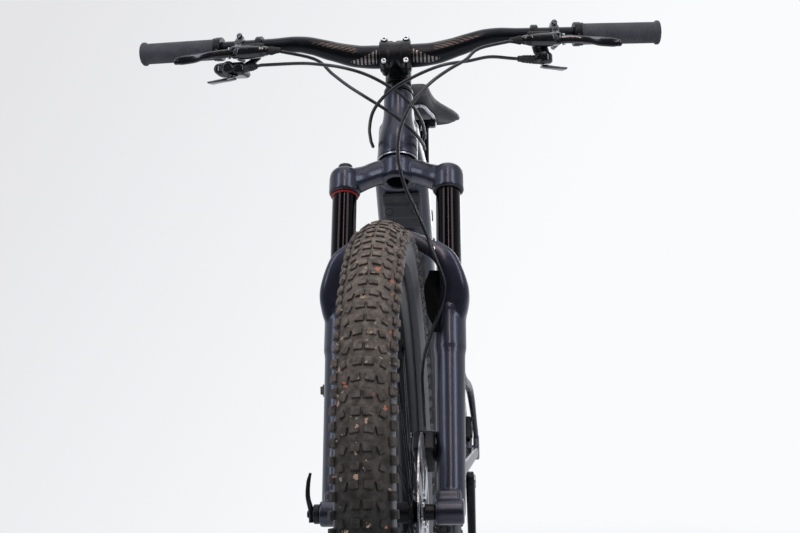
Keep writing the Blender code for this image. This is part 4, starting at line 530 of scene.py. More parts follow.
tubes = carved(tubes, room, bore, post_bore, side_plate(motor_outline(GAP), -0.0473, 0.0473),
               rod(on_fork(0, 0, 0.50), HEAD @ Vector((0, 0, -0.00005)), 0.060, 48))
show("frame_tubes", tubes, paint, "frame", "frame_paint", "head_tube", "down_tube", "top_tube", "seat_tube",
     corner=30)

# REAR TRIANGLE
# Curved alloy stays with a forged yoke behind the motor and forged dropouts, welded and painted
# with the front triangle. The right dropout carries the gear hanger and the left the brake post.

REAR_HALF = 0.0743
stays = bmesh.new()
chain_route = [(0.031, 0.200, 0.350), (0.036, 0.222, 0.351), (0.0475, 0.255, 0.352), (0.060, 0.330, 0.356),
               (0.074, 0.530, 0.366), (REAR_HALF + 0.006, 0.594, 0.371)]
chain_girth = mm("6.5 20, 6.8 19, 7.5 17, 8.5 14, 8 12, 5.5 12")
seat_top = SEATING @ Vector((0, 0, 0.340))
seat_route = [(0.004, seat_top.y, seat_top.z), (0.018, seat_top.y + 0.034, seat_top.z - 0.014),
              (0.047, seat_top.y + 0.090, seat_top.z - 0.085),
              (0.060, seat_top.y + 0.160, seat_top.z - 0.190), (0.072, 0.520, 0.500),
              (REAR_HALF + 0.006, 0.590, 0.4065)]
seat_girth = mm("10 12, 11 12, 8.5 10, 8 9, 7.5 9, 5.5 10")
dropout = [(REAR_AXLE.y + y, REAR_AXLE.z + z)
           for y, z in mm("-30 -12, -18 -18, -4 -21, 14 -17, 21 0, 18 14, 13 26, 2 32, -12 34, "
                          "-26 30, -34 10")]
block((-0.038, 0.186, 0.325), (0.038, 0.218, 0.375), ease=0.006, into=stays)
for side in (-1, 1):
    for route, girth in ((chain_route, chain_girth), (seat_route, seat_girth)):
        sweep_along([(side * x, y, z) for x, y, z in route], girth, 28, 2.6, sides=20, into=stays)
    side_plate(dropout, side * REAR_HALF, side * (REAR_HALF + 0.012), 0.002, into=stays)
bridge = seat_top + Vector((0, 0.058, -0.042))
crossbar(bridge, -0.030, 0.030, 0.0085, into=stays)
hanger = [(REAR_AXLE.y + y, REAR_AXLE.z + z) for y, z in mm("-10 -10, 12 -10, 18 -32, 10 -44, -4 -42")]
side_plate(hanger, -REAR_HALF - 0.007, -REAR_HALF, 0.001, into=stays)


def caliper_frame(axle, angle):
    """Its y points outward from the axle and its z runs along the disc's edge."""
    out = Vector((0, cos(angle), sin(angle)))
    turn = Matrix((SIDEWAYS, out, SIDEWAYS.cross(out))).transposed().to_4x4()
    return Matrix.Translation(axle + out * 0.0975) @ turn


FRONT_CALIPER = caliper_frame(FRONT_AXLE, radians(48))
REAR_CALIPER = caliper_frame(REAR_AXLE, radians(152))
block((0.0625, -0.012, 0.0283), (0.0738, 0.012, 0.048), REAR_CALIPER, 0.002, into=stays)
stays = cast(stays, 0.0018, 7)
stays = carved(stays, side_plate(motor_outline(GAP), -0.0473, 0.0473), crossbar(REAR_AXLE, -0.1, 0.1, 0.0078),
               crossbar(REAR_AXLE, REAR_HALF + 0.0075, 0.1, 0.0118))
show("rear_stays", stays, paint, "frame", "frame_paint", "chainstays", "seatstays", corner=30)

# Hard-anodised alloy: blasted before it is dyed, so it is a soft grey black with a fine grain
alloy = plain_finish("black_anodised_alloy", "141518", 0.36, 0.6, (0.0007, 0.00003), (0.30, 0.46),
                     ("131417", "2c2a29", 0.52, 0.85, 0.02))

out = REAR_HALF + 0.012 - GAP
axle = lathe([(0, -out), (0.0070, -out), (0.0075, 0.0005 - out), (0.0075, out - 0.0039),
              (0.0110, out - 0.0039), (0.0115, out - 0.0034), (0.0115, out - 0.0006), (0.0109, out),
              (0.0040, out), (0.0035, out - 0.0035), (0, out - 0.0035)], 40, wheelwise(REAR_AXLE))
show("rear_axle_skin", axle, alloy, "frame", "black_alloy", "rear_axle")

# MOTOR AND BATTERY
# The motor hangs between the tubes in a two-part moulded cover, screwed together. The battery's
# outer side is a smooth lid in the down tube, with a rubber bumper screwed on above it.

# Glass-filled nylon out of a spark-eroded mould: flat black with a fine even grain
plastic = plain_finish("moulded_black_nylon", "191a1b", 0.55, 0.0, (0.0006, 0.00004), (0.48, 0.64),
                       ("17181a", "4a4642", 0.50, 0.82, 0.03))
# Moulded rubber: dull, darker where it is clean and brown grey with dust
rubber = plain_finish("moulded_rubber", "1c1c1c", 0.78, 0.0, (0.0008, 0.00005), (0.66, 0.86),
                      ("19191a", "302e2c", 0.46, 0.78, 0.030), Specular_IOR_Level=0.35)
# Zinc-plated steel: bright and slightly cloudy
steel = plain_finish("zinc_plated_steel", "b9bbbf", 0.26, 1.0, (0.0012, 0.00001), (0.20, 0.38))


def cap_screw(centre, axis, radius, height, into=None):
    """A round screw head with a socket sunk in it."""
    socket = radius * 0.55
    matrix = frame_on(centre, axis, UPRIGHT if abs(Vector(axis).normalized().x) > 0.7 else SIDEWAYS)
    return lathe([(0, 0), (radius, 0), (radius, height * 0.75), (radius * 0.88, height), (socket, height),
                  (socket * 0.9, height * 0.35), (0, height * 0.3)], 18, matrix, into)


motor = carved(side_plate(motor_outline(0), -0.047, 0.047, 0.006, 3), crossbar(CRANK, -0.1, 0.1, 0.0126, 48))
show("motor_cover", motor, plastic, "frame", "black_plastic", "motor_unit")
for side, name in SIDES:
    lid = carved(side_plate(motor_outline(-0.008), side * 0.0468, side * 0.0492, 0.0012, 2),
                 crossbar(CRANK, 0, side * 0.1, 0.0305, 48))
    lathe(mm("12.8 46.8, 30 46.8, 30 51.5, 27 53, 17 53, 15.5 51.5, 12.8 51.5"), 56, wheelwise(CRANK, side),
          lid)
    show(f"motor_side_{name}", lid, plastic, "frame", "black_plastic")
screws = bmesh.new()
for side in (-1, 1):
    for y, z in mm("-110 85, -128 30, -60 92, -50 -28, 34 18, 12 -36"):
        cap_screw(CRANK + Vector((side * 0.0490, y, z)), SIDEWAYS * side, 0.0032, 0.0018, screws)
show("motor_screws", screws, steel, "frame", "steel")

battery = block((-0.030, DOWN_HALF - 0.051, BATTERY_START),
                (0.030, DOWN_HALF, BATTERY_START + BATTERY_LENGTH), DOWN_TUBE, 0.004, 3)
block((-0.024, DOWN_HALF - 0.002, BATTERY_START + 0.012),
      (0.024, DOWN_HALF + 0.0012, BATTERY_START + BATTERY_LENGTH - 0.012), DOWN_TUBE, 0.0012, 2, battery)
show("battery_lid", battery, plastic, "frame", "black_plastic", "battery")

# The pad is a harder, smoother rubber than the tyres: slate grey, a little lighter in patches
pad_rubber = plain_finish("smooth_slate_rubber", "2c2d31", 0.42, 0.0, (0.0010, 0.00003), (0.36, 0.52),
                          ("2a2b2f", "3a3b3e", 0.45, 0.80, 0.030))
# Painted shade: a dull black that gives back almost nothing, for hollows and wells that lie in shade
painted_shade_black = plain_finish("hollow_painted_shade", "060607", 0.85, 0.0, (0.0010, 0.00004), (0.80, 0.95),
                            Specular_IOR_Level=0.1)
low = BATTERY_START - 0.057 - 0.060
bumper = block((-0.030, DOWN_HALF + GAP, low), (0.030, DOWN_HALF + GAP + 0.006, low + 0.060), DOWN_TUBE,
               0.0025, 3)
block((-0.0275, DOWN_HALF + 0.0040, low + 0.016), (0.0275, DOWN_HALF + 0.0090, low + 0.041), DOWN_TUBE,
      0.0022, 3, bumper)
bumper = cast(bumper, 0.0008, 3)
bumper = carved(bumper, *[rod_in(DOWN_TUBE, (side * 0.020, DOWN_HALF + 0.0035, low + 0.028),
                                 (side * 0.020, DOWN_HALF + 0.02, low + 0.028), 0.0064) for side in (-1, 1)])
show("bumper_pad", bumper, pad_rubber, "frame", "tyre_rubber", "downtube_bumper")
# The screws and the linings of their wells are painted near black, as the shade in the wells
screws = bmesh.new()
out = DOWN_TUBE.to_3x3() @ Vector((0, 1, 0))
for side in (-1, 1):
    well = DOWN_TUBE @ Vector((side * 0.020, DOWN_HALF + 0.0034, low + 0.028))
    lathe(mm("0 0.4, 6 0.4, 6.3 0.8, 6.3 6, 5.8 6, 5.8 1.2, 0 1.2"), 40, frame_on(well, out), screws)
    cap_screw(well + out * 0.001, out, 0.0040, 0.0020, screws)
show("bumper_screws", screws, painted_shade_black, "frame", "black_alloy")

# HEADSET
# Two turned alloy bearing covers, the lower one bare and bright at its edge, the upper one black.

# Turned alloy, left bare: bright, with the fine rings that the tool leaves
bare = plain_finish("turned_bare_alloy", "a9abb0", 0.24, 1.0, (0.0010, 0.00001), (0.18, 0.34))
lower = lathe([(0.0194, -0.0027), (0.0297, -0.0027), (0.0300, -0.0024), (0.0300, -0.0006), (0.0297, -GAP),
               (0.0207, -GAP), (0.0207, 0.012), (0.0194, 0.012)], 64, HEAD)
show("lower_bearing_cover", lower, bare, "frame", "steel", "headset_lower")
TOP = at(HEAD, 0, 0, HEAD_LENGTH)
upper = lathe([(0.01485, -0.012), (0.0175, -0.012), (0.0175, GAP), (0.0217, GAP), (0.0220, 0.0006),
               (0.0220, 0.0055), (0.0216, 0.0064), (0.0203, 0.0084), (0.0184, 0.0128), (0.0178, 0.0150),
               (0.0174, 0.0155), (0.01485, 0.0155)], 64, TOP)
show("upper_bearing_cover", upper, alloy, "frame", "black_alloy", "headset_upper")

# FORK CROWN
# One forging carries the steerer and both legs: a hollow hub and two gull-wing arms that end in
# cups, in the paint of the legs. The black-plated tubes are pressed into the cups from below.

LEG_X = 0.07475
LEG_Y = -0.022
CROWN_LOW = 0.481
CUP_TOP = 0.522
CROWN_TOP = 0.545
CROWN_FOOT = CROWN_TOP - 0.034
STANCHION = 0.0175


def fork_leg(side, height):
    return at(STEERING, side * LEG_X, LEG_Y, height)


crown = bmesh.new()
lathe([(0, CROWN_FOOT), (0.0255, CROWN_FOOT), (0.0285, CROWN_FOOT + 0.005), (0.0285, 0.539), (0.0270, 0.5445),
       (0, CROWN_TOP)], 64, STEERING, crown)
for side in (-1, 1):
    leg = fork_leg(side, CROWN_LOW)
    lathe(mm("0 0, 21.2 0, 22.5 1.6, 22.7 4, 22.7 24, 22 30.5, 20 35.5, 16.5 39, 11.5 41, 0 41"), 64, leg,
          crown)
    arm = placed(STEERING, [(0.008, -0.002, 0.5285), (0.022, -0.004, 0.5275), (0.033, -0.008, 0.5225),
                            (0.044, -0.012, 0.5155), (0.060, -0.018, 0.5060), (LEG_X - 0.002, LEG_Y, 0.5010)],
                            side)
    sweep_along(arm, mm("16.5 16.8, 17 16.5, 16.5 16, 16.5 15.5, 18.5 17, 20 18.5"), 30, 2.8, STEER_BACK, 40,
                crown)
crown = cast(crown, 0.0010, 9)
tools = [lathe([(0, CROWN_FOOT - 0.02), (0.0176, CROWN_FOOT - 0.02), (0.0176, CROWN_FOOT),
                (0.0160, CROWN_FOOT + 0.0018), (0.0160, 0.539), (0, 0.539)], 48, STEERING)]
for side in (-1, 1):
    leg = fork_leg(side, CROWN_LOW)
    tools.append(rod_in(leg, (0, 0, -0.01), (0, 0, 0.031), STANCHION + GAP, 64))
crown = carved(crown, *tools)
show("crown_forging", crown, paint, "steering", "fork_gloss", "fork_crown", corner=40)

steerer = lathe(mm("11.6 539, 19 539, 19 575, 14.3 595, 14.3 716.5, 13.8 717, 11.6 717"), 48, STEERING)
show("steerer_tube", steerer, bare, "steering", "steel")

# Ceramic-black plating on ground tube: near black, mirror smooth, with one sharp bright line
plated = plain_finish("ground_black_plating", "201d1d", 0.12, 1.0, (0.004, 0.000004), (0.09, 0.16))
# A red rubber ring, pushed down by the seal, shows the travel used
ring_red = plain_finish("red_rubber_ring", "9a1712", 0.5, 0.0, (0.0012, 0.00001), (0.42, 0.6))
tube_low = 0.185
for side, name in SIDES:
    leg = fork_leg(side, 0)
    tube = lathe([(0.0155, tube_low), (0.0172, tube_low), (STANCHION, tube_low + 0.0004), (STANCHION, 0.5113),
                  (0.0172, 0.5117), (0.0155, 0.5117)], 96, leg)
    show(f"stanchion_{name}_tube", tube, plated, "steering", "fork_gloss", f"stanchion_{name}")
    lip = lathe([(0.01785, CROWN_LOW - 0.0016), (0.0205, CROWN_LOW - 0.0012), (0.0212, CROWN_LOW + 0.0002),
                 (0.01785, CROWN_LOW + 0.0002)], 64, leg)
    show(f"cup_lip_{name}", lip, plastic, "steering", "black_plastic")
marker = lathe(mm("17.55 0, 19 0.3, 19.9 1.2, 19 2.1, 17.55 2.4"), 48, fork_leg(-1, CROWN_LOW - 0.0046))
show("travel_ring", marker, ring_red, "steering", "tyre_rubber")

# FORK LOWERS
# Both legs and the arch are one magnesium casting, painted like the frame. The arch stands in front
# of the tyre; where it meets each leg, a dull black piece is the painted shade of a deep pocket. Dust
# wipers close the tops.

LEG_TOP = CROWN_LOW - 0.136
AXLE_END = 0.09215
lowers = bmesh.new()
for side in (-1, 1):
    leg = fork_leg(side, 0)
    lathe(mm("0 -6, 12 -6, 16 -3, 18.4 4, 19 60, 20.7 223, 21.3 228.5, 22.5 234.5, 22.6 275.5, "
             "23.4 282, 24.8 288, 25 294, 25 335, 24.3 340, 22.5 344.5, 0 344.5"), 72, leg, lowers)
    crossbar(FRONT_AXLE, side * 0.0553, side * AXLE_END, 0.0165, 48, 0.0015, into=lowers)
    block((side * 0.0553, -0.044, -0.010), (side * 0.0880, -0.022, 0.030), STEERING, 0.004, 3, lowers)
    shoulder = placed(STEERING, [(0.054, -0.064, 0.370), (LEG_X + 0.001, -0.0595, 0.348),
                                 (LEG_X + 0.0105, -0.042, 0.314), (LEG_X + 0.008, -0.029, 0.294),
                                 (LEG_X, -0.022, 0.262)], side)
    sweep_along(shoulder, mm("10.5 12, 11.5 14, 15.5 17.5, 17.5 18.5, 14 15"), 34, 2.8, STEER_BACK, 30,
                lowers)
bow = [(-LEG_X - 0.004, -0.036, 0.298), (-LEG_X - 0.001, -0.058, 0.340), (-0.052, -0.064, 0.367),
       (0, -0.064, 0.389)]
bow += [(-x, y, z) for x, y, z in reversed(bow[:-1])]
shares = (1, 0.667, 0.333, 0, 0.333, 0.667, 1)
sizes = [(0.009 + 0.003 * share, 0.010 + 0.008 * share**1.5) for share in shares]
sweep_along(placed(STEERING, bow), sizes, 56, 2.4, STEER_BACK, 28, lowers)
lowers = cast(lowers, 0.0014, 8)
tools = [crossbar(FRONT_AXLE, -0.15, 0.15, 0.0078)]
for side in (-1, 1):
    leg = fork_leg(side, 0)
    tools.append(rod_in(leg, (0, 0, 0.050), (0, 0, LEG_TOP + 0.06), STANCHION + GAP, 72))
lowers = carved(lowers, *tools)
show("lower_legs_casting", lowers, paint, "fork_lowers", "fork_gloss", "fork_lowers", corner=40)
# Painted shade: a dull black piece where the arch meets each leg stands for the shade in a deep pocket
for side, name in SIDES:
    hollow = [on_fork(side * x, -0.0425, z) for x, z in mm("58 252, 55 285, 53.5 318, 55 343")]
    pocket = sweep_along(hollow, mm("2.8 3, 3.2 10.5, 3.2 12.5, 2.8 7"), 24, 2.6, STEER_BACK, 28)
    show(f"arch_pocket_shade_{name}", pocket, painted_shade_black, "fork_lowers", "black_plastic")
show("hose_guide_screw", cap_screw(on_fork(0.0555, -0.0768, 0.3600), -STEER_BACK, 0.0034, 0.0022), steel,
     "fork_lowers", "steel")
for side, name in SIDES:
    leg = fork_leg(side, LEG_TOP)
    wiper = lathe(mm("17.8 -10, 21.2 -10, 21.2 -1.8, 21.6 -1, 21.6 -0.2, 19.6 0, 18.8 0.6, 18.6 1.1, "
                     "17.8 1.2"), 64, leg)
    show(f"dust_wiper_{name}", wiper, rubber, "fork_lowers", "tyre_rubber")
    foot = lathe(mm("0 -8.5, 6 -8.5, 6.8 -7.8, 6.8 -5.8, 0 -5.8"), 24, fork_leg(side, 0))
    show(f"foot_nut_{name}", foot, alloy, "fork_lowers", "black_alloy")

# FRONT AXLE
# A hard-anodised through axle with a folding lever on the rider's right, turned from alloy bar.

axle = lathe([(0, 0), (0.0070, 0), (0.0075, 0.0006), (0.0075, 2 * AXLE_END), (0.0120, 2 * AXLE_END),
              (0.0125, 2 * AXLE_END + 0.0006), (0.0125, 2 * AXLE_END + 0.0066),
              (0.0116, 2 * AXLE_END + 0.0075), (0, 2 * AXLE_END + 0.0075)], 48,
              frame_on(FRONT_AXLE + (AXLE_END - GAP) * SIDEWAYS, -SIDEWAYS, UPRIGHT))
show("through_axle", axle, alloy, "fork_lowers", "black_alloy", "front_axle")
hinge = FRONT_AXLE - (AXLE_END + 0.0075 + 2 * GAP + 0.0034) * SIDEWAYS
handle = [hinge + Vector(p) for p in mm("0 0 -10.5, 0 1 4, -4 2 22, -3 2 40, 0 1 52")]
lever = sweep_along(handle, mm("3 7, 3.4 8.8, 2.9 6.4, 2.6 5.4, 1.8 3.4"), 40, 2.2, SIDEWAYS, 24)
lathe(mm("0 2.6, 4.6 2.6, 4.6 4.2, 3.8 4.8, 0 4.8"), 24, wheelwise(hinge, -1), lever)
show("axle_lever_handle", lever, alloy, "axle_lever", "black_alloy", "axle_lever")

# LOCKOUT KNOB
# A moulded knob on the right leg's damper, with finger ribs round its skirt.

knob_place = fork_leg(-1, CUP_TOP + GAP)
knob = lathe(mm("0 0, 10 0, 10.5 0.5, 10.5 5, 9.8 6.8, 8 7.8, 5 8, 4.6 7.4, 0 7.4"), 48, knob_place)
knob = carved(knob, *[rod(knob_place @ Matrix.Rotation(tau * i / 16, 4, "Z") @ Vector((0.0112, 0, -0.001)),
                          knob_place @ Matrix.Rotation(tau * i / 16, 4, "Z") @ Vector((0.0112, 0, 0.010)),
                          0.0011, 10) for i in range(16)])
show("lockout_knob_cap", knob, plastic, "lockout_knob", "black_plastic", "lockout_knob")

# TYRES
# Nylon casing under a moulded tread for loose ground: paired middle blocks with cross slots,
# slanted blocks beside them and tall square blocks on the shoulders, dusty and scuffed with use.

WHEEL_RADIUS = 0.372
CASING = 0.033
CASING_CENTRE = WHEEL_RADIUS - 0.004 - CASING
UNITS = 40

# Tread rubber: charcoal and brown grey with dry mud in patches, flecked with bits of leaf. Low on the
# wheel the mud is painted darker, as painted shade, and towards the top lighter, as painted light; the
# flanks of the blocks are painted near black, as painted shade under each block.
tread, tree, shader, place = finish("tread_rubber_mud_and_painted_shade", "2b2927", 0.82, Specular_IOR_Level=0.3)
shaded_low_mud = dusted(tree, shader, place, "161613", "2c2b28", 0.40, 0.70, 0.009)
lit_high_mud = dusted(tree, shader, place, "453e38", "7d7166", 0.38, 0.70, 0.009)
parts = add_node(tree, "SeparateXYZ", {0: place})
aside = add_node(tree, "Math", {0: parts.outputs[1]}, operation="ABSOLUTE")
along = add_node(tree, "Math", {0: aside, 1: -FRONT_AXLE.y}, operation="SUBTRACT")
lifted = add_node(tree, "Math", {0: parts.outputs[2], 1: FRONT_AXLE.z}, operation="SUBTRACT")
wheel_plane = add_node(tree, "CombineXYZ", {0: along, 1: lifted})
radius = add_node(tree, "VectorMath", {0: wheel_plane}, operation="LENGTH")
outward = add_node(tree, "Math", {0: radius.outputs["Value"], 1: CASING_CENTRE}, operation="SUBTRACT")
section = add_node(tree, "CombineXYZ", {0: parts, 1: outward})
height = add_node(tree, "VectorMath", {0: section}, operation="LENGTH")
# Painted light and shade: the mud is darker low on the wheel and lighter towards its top
painted_light_by_height = add_node(tree, "MapRange", {0: lifted, 1: 0.02, 2: 0.34})
mud_and_painted_light = add_node(tree, "Mix", {0: painted_light_by_height, 6: shaded_low_mud.outputs[2], 7: lit_high_mud.outputs[2]}, data_type="RGBA")
# Painted shade: the flanks of the blocks, between the casing and the block tops, are painted near black
foot = add_node(tree, "MapRange", {0: height.outputs["Value"], 1: CASING + 0.0018, 2: CASING + 0.0023})
brow = add_node(tree, "MapRange", {0: height.outputs["Value"], 1: CASING + 0.0034, 2: CASING + 0.0040,
                                   3: 0.85, 4: 0.0})
flank_shade = add_node(tree, "Math", {0: foot, 1: brow}, operation="MULTIPLY")
mud_and_flank_shade = add_node(tree, "Mix", {0: flank_shade, 6: mud_and_painted_light.outputs[2], 7: hex_colour("100f0e")}, data_type="RGBA")
ragged = add_node(tree, "TexNoise", {"Vector": place, "Scale": 1 / 0.004, "Detail": 4})
shifted = add_node(tree, "VectorMath", {0: ragged.outputs["Color"], 1: (0.009, 0.009, 0.009), 2: place},
                   operation="MULTIPLY_ADD")
base = mud_and_flank_shade
for size, share, code in ((0.011, 0.86, "957d67"), (0.008, 0.84, "7f7468"), (0.015, 0.95, "9c5f49")):
    flecks = add_node(tree, "TexVoronoi", {"Vector": shifted, "Scale": 1 / size})
    spot = add_node(tree, "Math", {0: flecks.outputs["Distance"], 1: 0.23}, operation="LESS_THAN")
    rare = add_node(tree, "SeparateColor", {0: flecks.outputs["Color"]})
    chosen = add_node(tree, "Math", {0: rare, 1: share}, operation="GREATER_THAN")
    both = add_node(tree, "Math", {0: spot, 1: chosen}, operation="MULTIPLY")
    base = add_node(tree, "Mix", {0: both, 6: base.outputs[2], 7: hex_colour(code)}, data_type="RGBA")
# Painted reflection: the sidewall is painted mid grey for the soft sheen of its smooth rubber
sidewall_sheen = add_node(tree, "MapRange", {0: radius.outputs["Value"], 1: 0.3530, 2: 0.3450})
base = add_node(tree, "Mix", {0: sidewall_sheen, 6: base.outputs[2], 7: hex_colour("626265")}, data_type="RGBA")
tree.links.new(base.outputs[2], shader.inputs["Base Color"])
grained(tree, shader, place, 0.0016, 0.00030, rough=(0.66, 0.88))


def on_casing(side_angle, round_angle):
    """A frame on the tyre at the origin: z points out, y runs round the wheel and x across."""
    tilt = Matrix.Rotation(side_angle, 4, "Y")
    place = Matrix.Rotation(round_angle, 4, "X") @ Matrix.Translation((0, 0, CASING_CENTRE)) @ tilt
    return place @ Matrix.Translation((0, 0, CASING))


def tread_block(bm, side_angle, round_angle, width, length, height, slant=0.0, lean=0.0):
    """One moulded block: sides that taper outward to a flat top with soft edges."""
    blank = bmesh.new()
    made = bmesh.ops.create_cube(blank, size=1)["verts"]
    for v in made:
        top = v.co.z > 0
        taper = 0.90 if top else 1.08
        v.co = Vector((v.co.x * width * taper + (lean if top else 0), v.co.y * length * taper,
                       height if top else -0.0016))
    rim = [e for e in blank.edges if any(v.co.z > 0 for v in e.verts)]
    bmesh.ops.bevel(blank, geom=rim, offset=0.0006, segments=1, profile=0.5, affect="EDGES", material=-1)
    blank.transform(on_casing(side_angle, round_angle) @ Matrix.Rotation(slant, 4, "Z"))
    fitted(blank, IN_PLACE, bm)


unit = bmesh.new()
step = tau / UNITS
for row in range(3):
    here = step * (row + 0.5) / 3
    for side in (-1, 1):
        shape = (0.178, 0.0106, 0.0102, 0.0044, 0.05) if row < 2 else (0.228, 0.0112, 0.0092, 0.0042, -0.10)
        tread_block(unit, side * shape[0], here, *shape[1:4], side * shape[4])
for side in (-1, 1):
    tread_block(unit, side * 0.600, step * 0.20, 0.0088, 0.0098, 0.0044, side * 0.42)
    tread_block(unit, side * 0.660, step * 0.52, 0.0082, 0.0090, 0.0042, side * -0.30)
    tread_block(unit, side * 0.560, step * 0.85, 0.0086, 0.0098, 0.0044, side * 0.24)
    for third in (0.02, 0.36, 0.69):
        tread_block(unit, side * (1.08 if third > 0.1 else 1.00), step * third, 0.0096, 0.0104, 0.0068,
                    side * 0.06, side * 0.0006)
        tread_block(unit, side * 1.32, step * third, 0.0040, 0.0080, 0.0014)
tread_skin = bmesh.new()
mesh = bpy.data.meshes.new("unit")
unit.to_mesh(mesh)
unit.free()
for i in range(UNITS):
    first = len(tread_skin.verts)
    tread_skin.from_mesh(mesh)
    tread_skin.verts.ensure_lookup_table()
    bmesh.ops.rotate(tread_skin, verts=tread_skin.verts[first:], cent=(0, 0, 0),
                     matrix=Matrix.Rotation(step * i, 3, "X"))
bpy.data.meshes.remove(mesh)
bmesh.ops.translate(tread_skin, verts=tread_skin.verts, vec=FRONT_AXLE)

arc = [radians(a) for a in range(-124, 125, 8)]
casing_line = []
for a in arc:
    full = CASING + 0.0016 * min(1, max(0, (radians(66) - abs(a)) / radians(12)))
    casing_line.append((CASING_CENTRE + full * cos(a), full * sin(a)))
bead = mm("319.5 16.5, 317.2 15, 317.2 11.5, 323 12, 333 25, 360 16")
casing_line += bead + [(r, -h) for r, h in reversed(bead)]
WHEELS = {"front": (FRONT_AXLE, 0.110, 0.034, 0.026, 0.0), "rear": (REAR_AXLE, 0.148, 0.026, 0.034, 0.035)}
for wheel, (centre, *_) in WHEELS.items():
    tyre = lathe(casing_line, 180, wheelwise(centre))
    blocks = tread_skin.copy()
    bmesh.ops.translate(blocks, verts=blocks.verts, vec=centre - FRONT_AXLE)
    fitted(blocks, IN_PLACE, tyre)
    show(f"{wheel}_tyre_tread", tyre, tread, f"{wheel}_wheel", "tyre_rubber", f"{wheel}_tyre", corner=28)
tread_skin.free()

# RIMS AND SPOKES
# Box-section alloy rims, rolled and anodised black, with hooked edges. Black stainless spokes lace
# them to the hubs, slanted by turns forward and back, with a nipple at each rim end.

# Stainless spokes, coated black: thin, smooth and a little glossy
spoke_black = plain_finish("black_coated_spokes", "1d1d1f", 0.30, 0.8, (0.0015, 0.00001), (0.24, 0.38))
rim_line = mm("295.5 -8.5, 294.8 0, 295.5 8.5, 297.2 10.5, 309 16.5, 316.5 18, 317.5 17.2, "
              "317.5 15.5, 316 15, 315.5 11.8, 314 9.5, 311 6")
rim_line += [(r, -h) for r, h in reversed(rim_line[4:])] + [(0.2972, -0.0105)]
for wheel, (centre, _, right, left, _) in WHEELS.items():
    body = f"{wheel}_wheel"
    show(f"{wheel}_rim_hoop", lathe(rim_line, 160, wheelwise(centre)), alloy, body, "black_alloy",
         f"{wheel}_rim")
    spokes = bmesh.new()
    for flange in (-right, left):
        for i in range(14):
            lead = 1 if i % 2 else -1
            angle = tau * i / 14 + (0.1 if flange > 0 else 0.0)
            near = Vector((flange + 0.0014 * lead, 0.0225 * cos(angle), 0.0225 * sin(angle)))
            angle += lead * 0.24
            tip = Vector((copysign(0.004, flange), 0.2950 * cos(angle), 0.2950 * sin(angle)))
            rod(centre + near, centre + tip, 0.0010, 10, into=spokes)
            inward = (near - tip).normalized()
            rod(centre + tip - inward * 0.001, centre + tip + inward * 0.012, 0.0021, 8, 0.0004, 0.0018,
                into=spokes)
            rod(centre + near - SIDEWAYS * lead * 0.0004, centre + near + SIDEWAYS * lead * 0.0026, 0.0021,
                10, 0.0004, into=spokes)
    show(f"{wheel}_spokes", spokes, spoke_black, body, "steel")

# HUBS AND DISCS
# Turned alloy hubs with drilled flanges. Each disc is stamped from stainless sheet, with drilled
# slots in its band and wavy arms, and six socket screws hold it to the hub's left end.


def curve_shape(lines, ring, **settings):
    """The shape that a curve object makes of lines of points, closed into rings if asked."""
    curve = bpy.data.curves.new("line", "CURVE")
    for name, value in settings.items():
        setattr(curve, name, value)
    for line in lines:
        spline = curve.splines.new("POLY")
        spline.points.add(len(line) - 1)
        for point, spot in zip(spline.points, line):
            point.co = (*spot, 0, 1) if len(spot) == 2 else (*spot, 1)
        spline.use_cyclic_u = ring
    blank = bpy.data.objects.new("line", curve)
    scene.collection.objects.link(blank)
    mesh = bpy.data.meshes.new_from_object(blank.evaluated_get(bpy.context.evaluated_depsgraph_get()))
    bm = bmesh.new()
    bm.from_mesh(mesh)
    bpy.data.objects.remove(blank)
    bpy.data.meshes.remove(mesh)
    bmesh.ops.remove_doubles(bm, verts=bm.verts, dist=1e-6)
    return bm


def pressed(outlines, thickness, matrix, ease=0.0, into=None):
    """A plate cut from sheet: the first outline is its edge and the others are holes in it."""
    bm = curve_shape(outlines, True, dimensions="2D", fill_mode="BOTH", extrude=thickness / 2 - ease,
                     bevel_depth=ease, offset=-ease)
    return fitted(bm, matrix, into)


def ring_points(radius, count, wave=0.0, waves=0):
    return [((radius + wave * cos(waves * tau * i / count)) * cos(tau * i / count),
             (radius + wave * cos(waves * tau * i / count)) * sin(tau * i / count)) for i in range(count)]


def slot_points(radius, angle, length, width, tilt):
    """A drilled slot: two half circles joined by straight sides."""
    middle = Vector((radius * cos(angle), radius * sin(angle)))
    points = []
    for i in range(12):
        turn = tau * i / 12 + 1e-3
        shift = length / 2 * (1 if cos(turn) > 0 else -1)
        local = Vector((width / 2 * cos(turn) + shift, width / 2 * sin(turn)))
        c, s = cos(angle + tilt), sin(angle + tilt)
        points.append((middle.x + local.x * c - local.y * s, middle.y + local.x * s + local.y * c))
    return points


# Stamped stainless sheet, its band brushed by the pads in fine rings round the axle
disc_steel = plain_finish("brushed_stainless_disc", "b4b6ba", 0.28, 1.0, (0.0008, 0.00001), (0.22, 0.40))
arms = 6
disc = [ring_points(0.1005, 288, 0.0010, 18), ring_points(0.0173, 60)]
for i in range(arms):
    start = tau * i / arms
    window = [(0.0305, 0.30), (0.045, 0.16), (0.066, 0.12), (0.0845, 0.18), (0.0860, 0.40), (0.0865, 0.60),
              (0.0855, 0.82), (0.066, 0.74), (0.045, 0.68), (0.0310, 0.72)]
    window = [Vector((r * cos(start + a), r * sin(start + a), 0)) for r, a in window]
    disc.append([tuple(p.xy) for p in curve_through(window + window[:1], 60)[:-1]])
    disc.append([(0.0232 * cos(start) + 0.0022 * cos(tau * k / 12),
                  0.0232 * sin(start) + 0.0022 * sin(tau * k / 12)) for k in range(12)])
for i in range(36):
    disc.append(slot_points((0.0905, 0.0935, 0.0965)[i % 3], tau * (i + 0.5) / 36, 0.0030, 0.0032, 0.5))
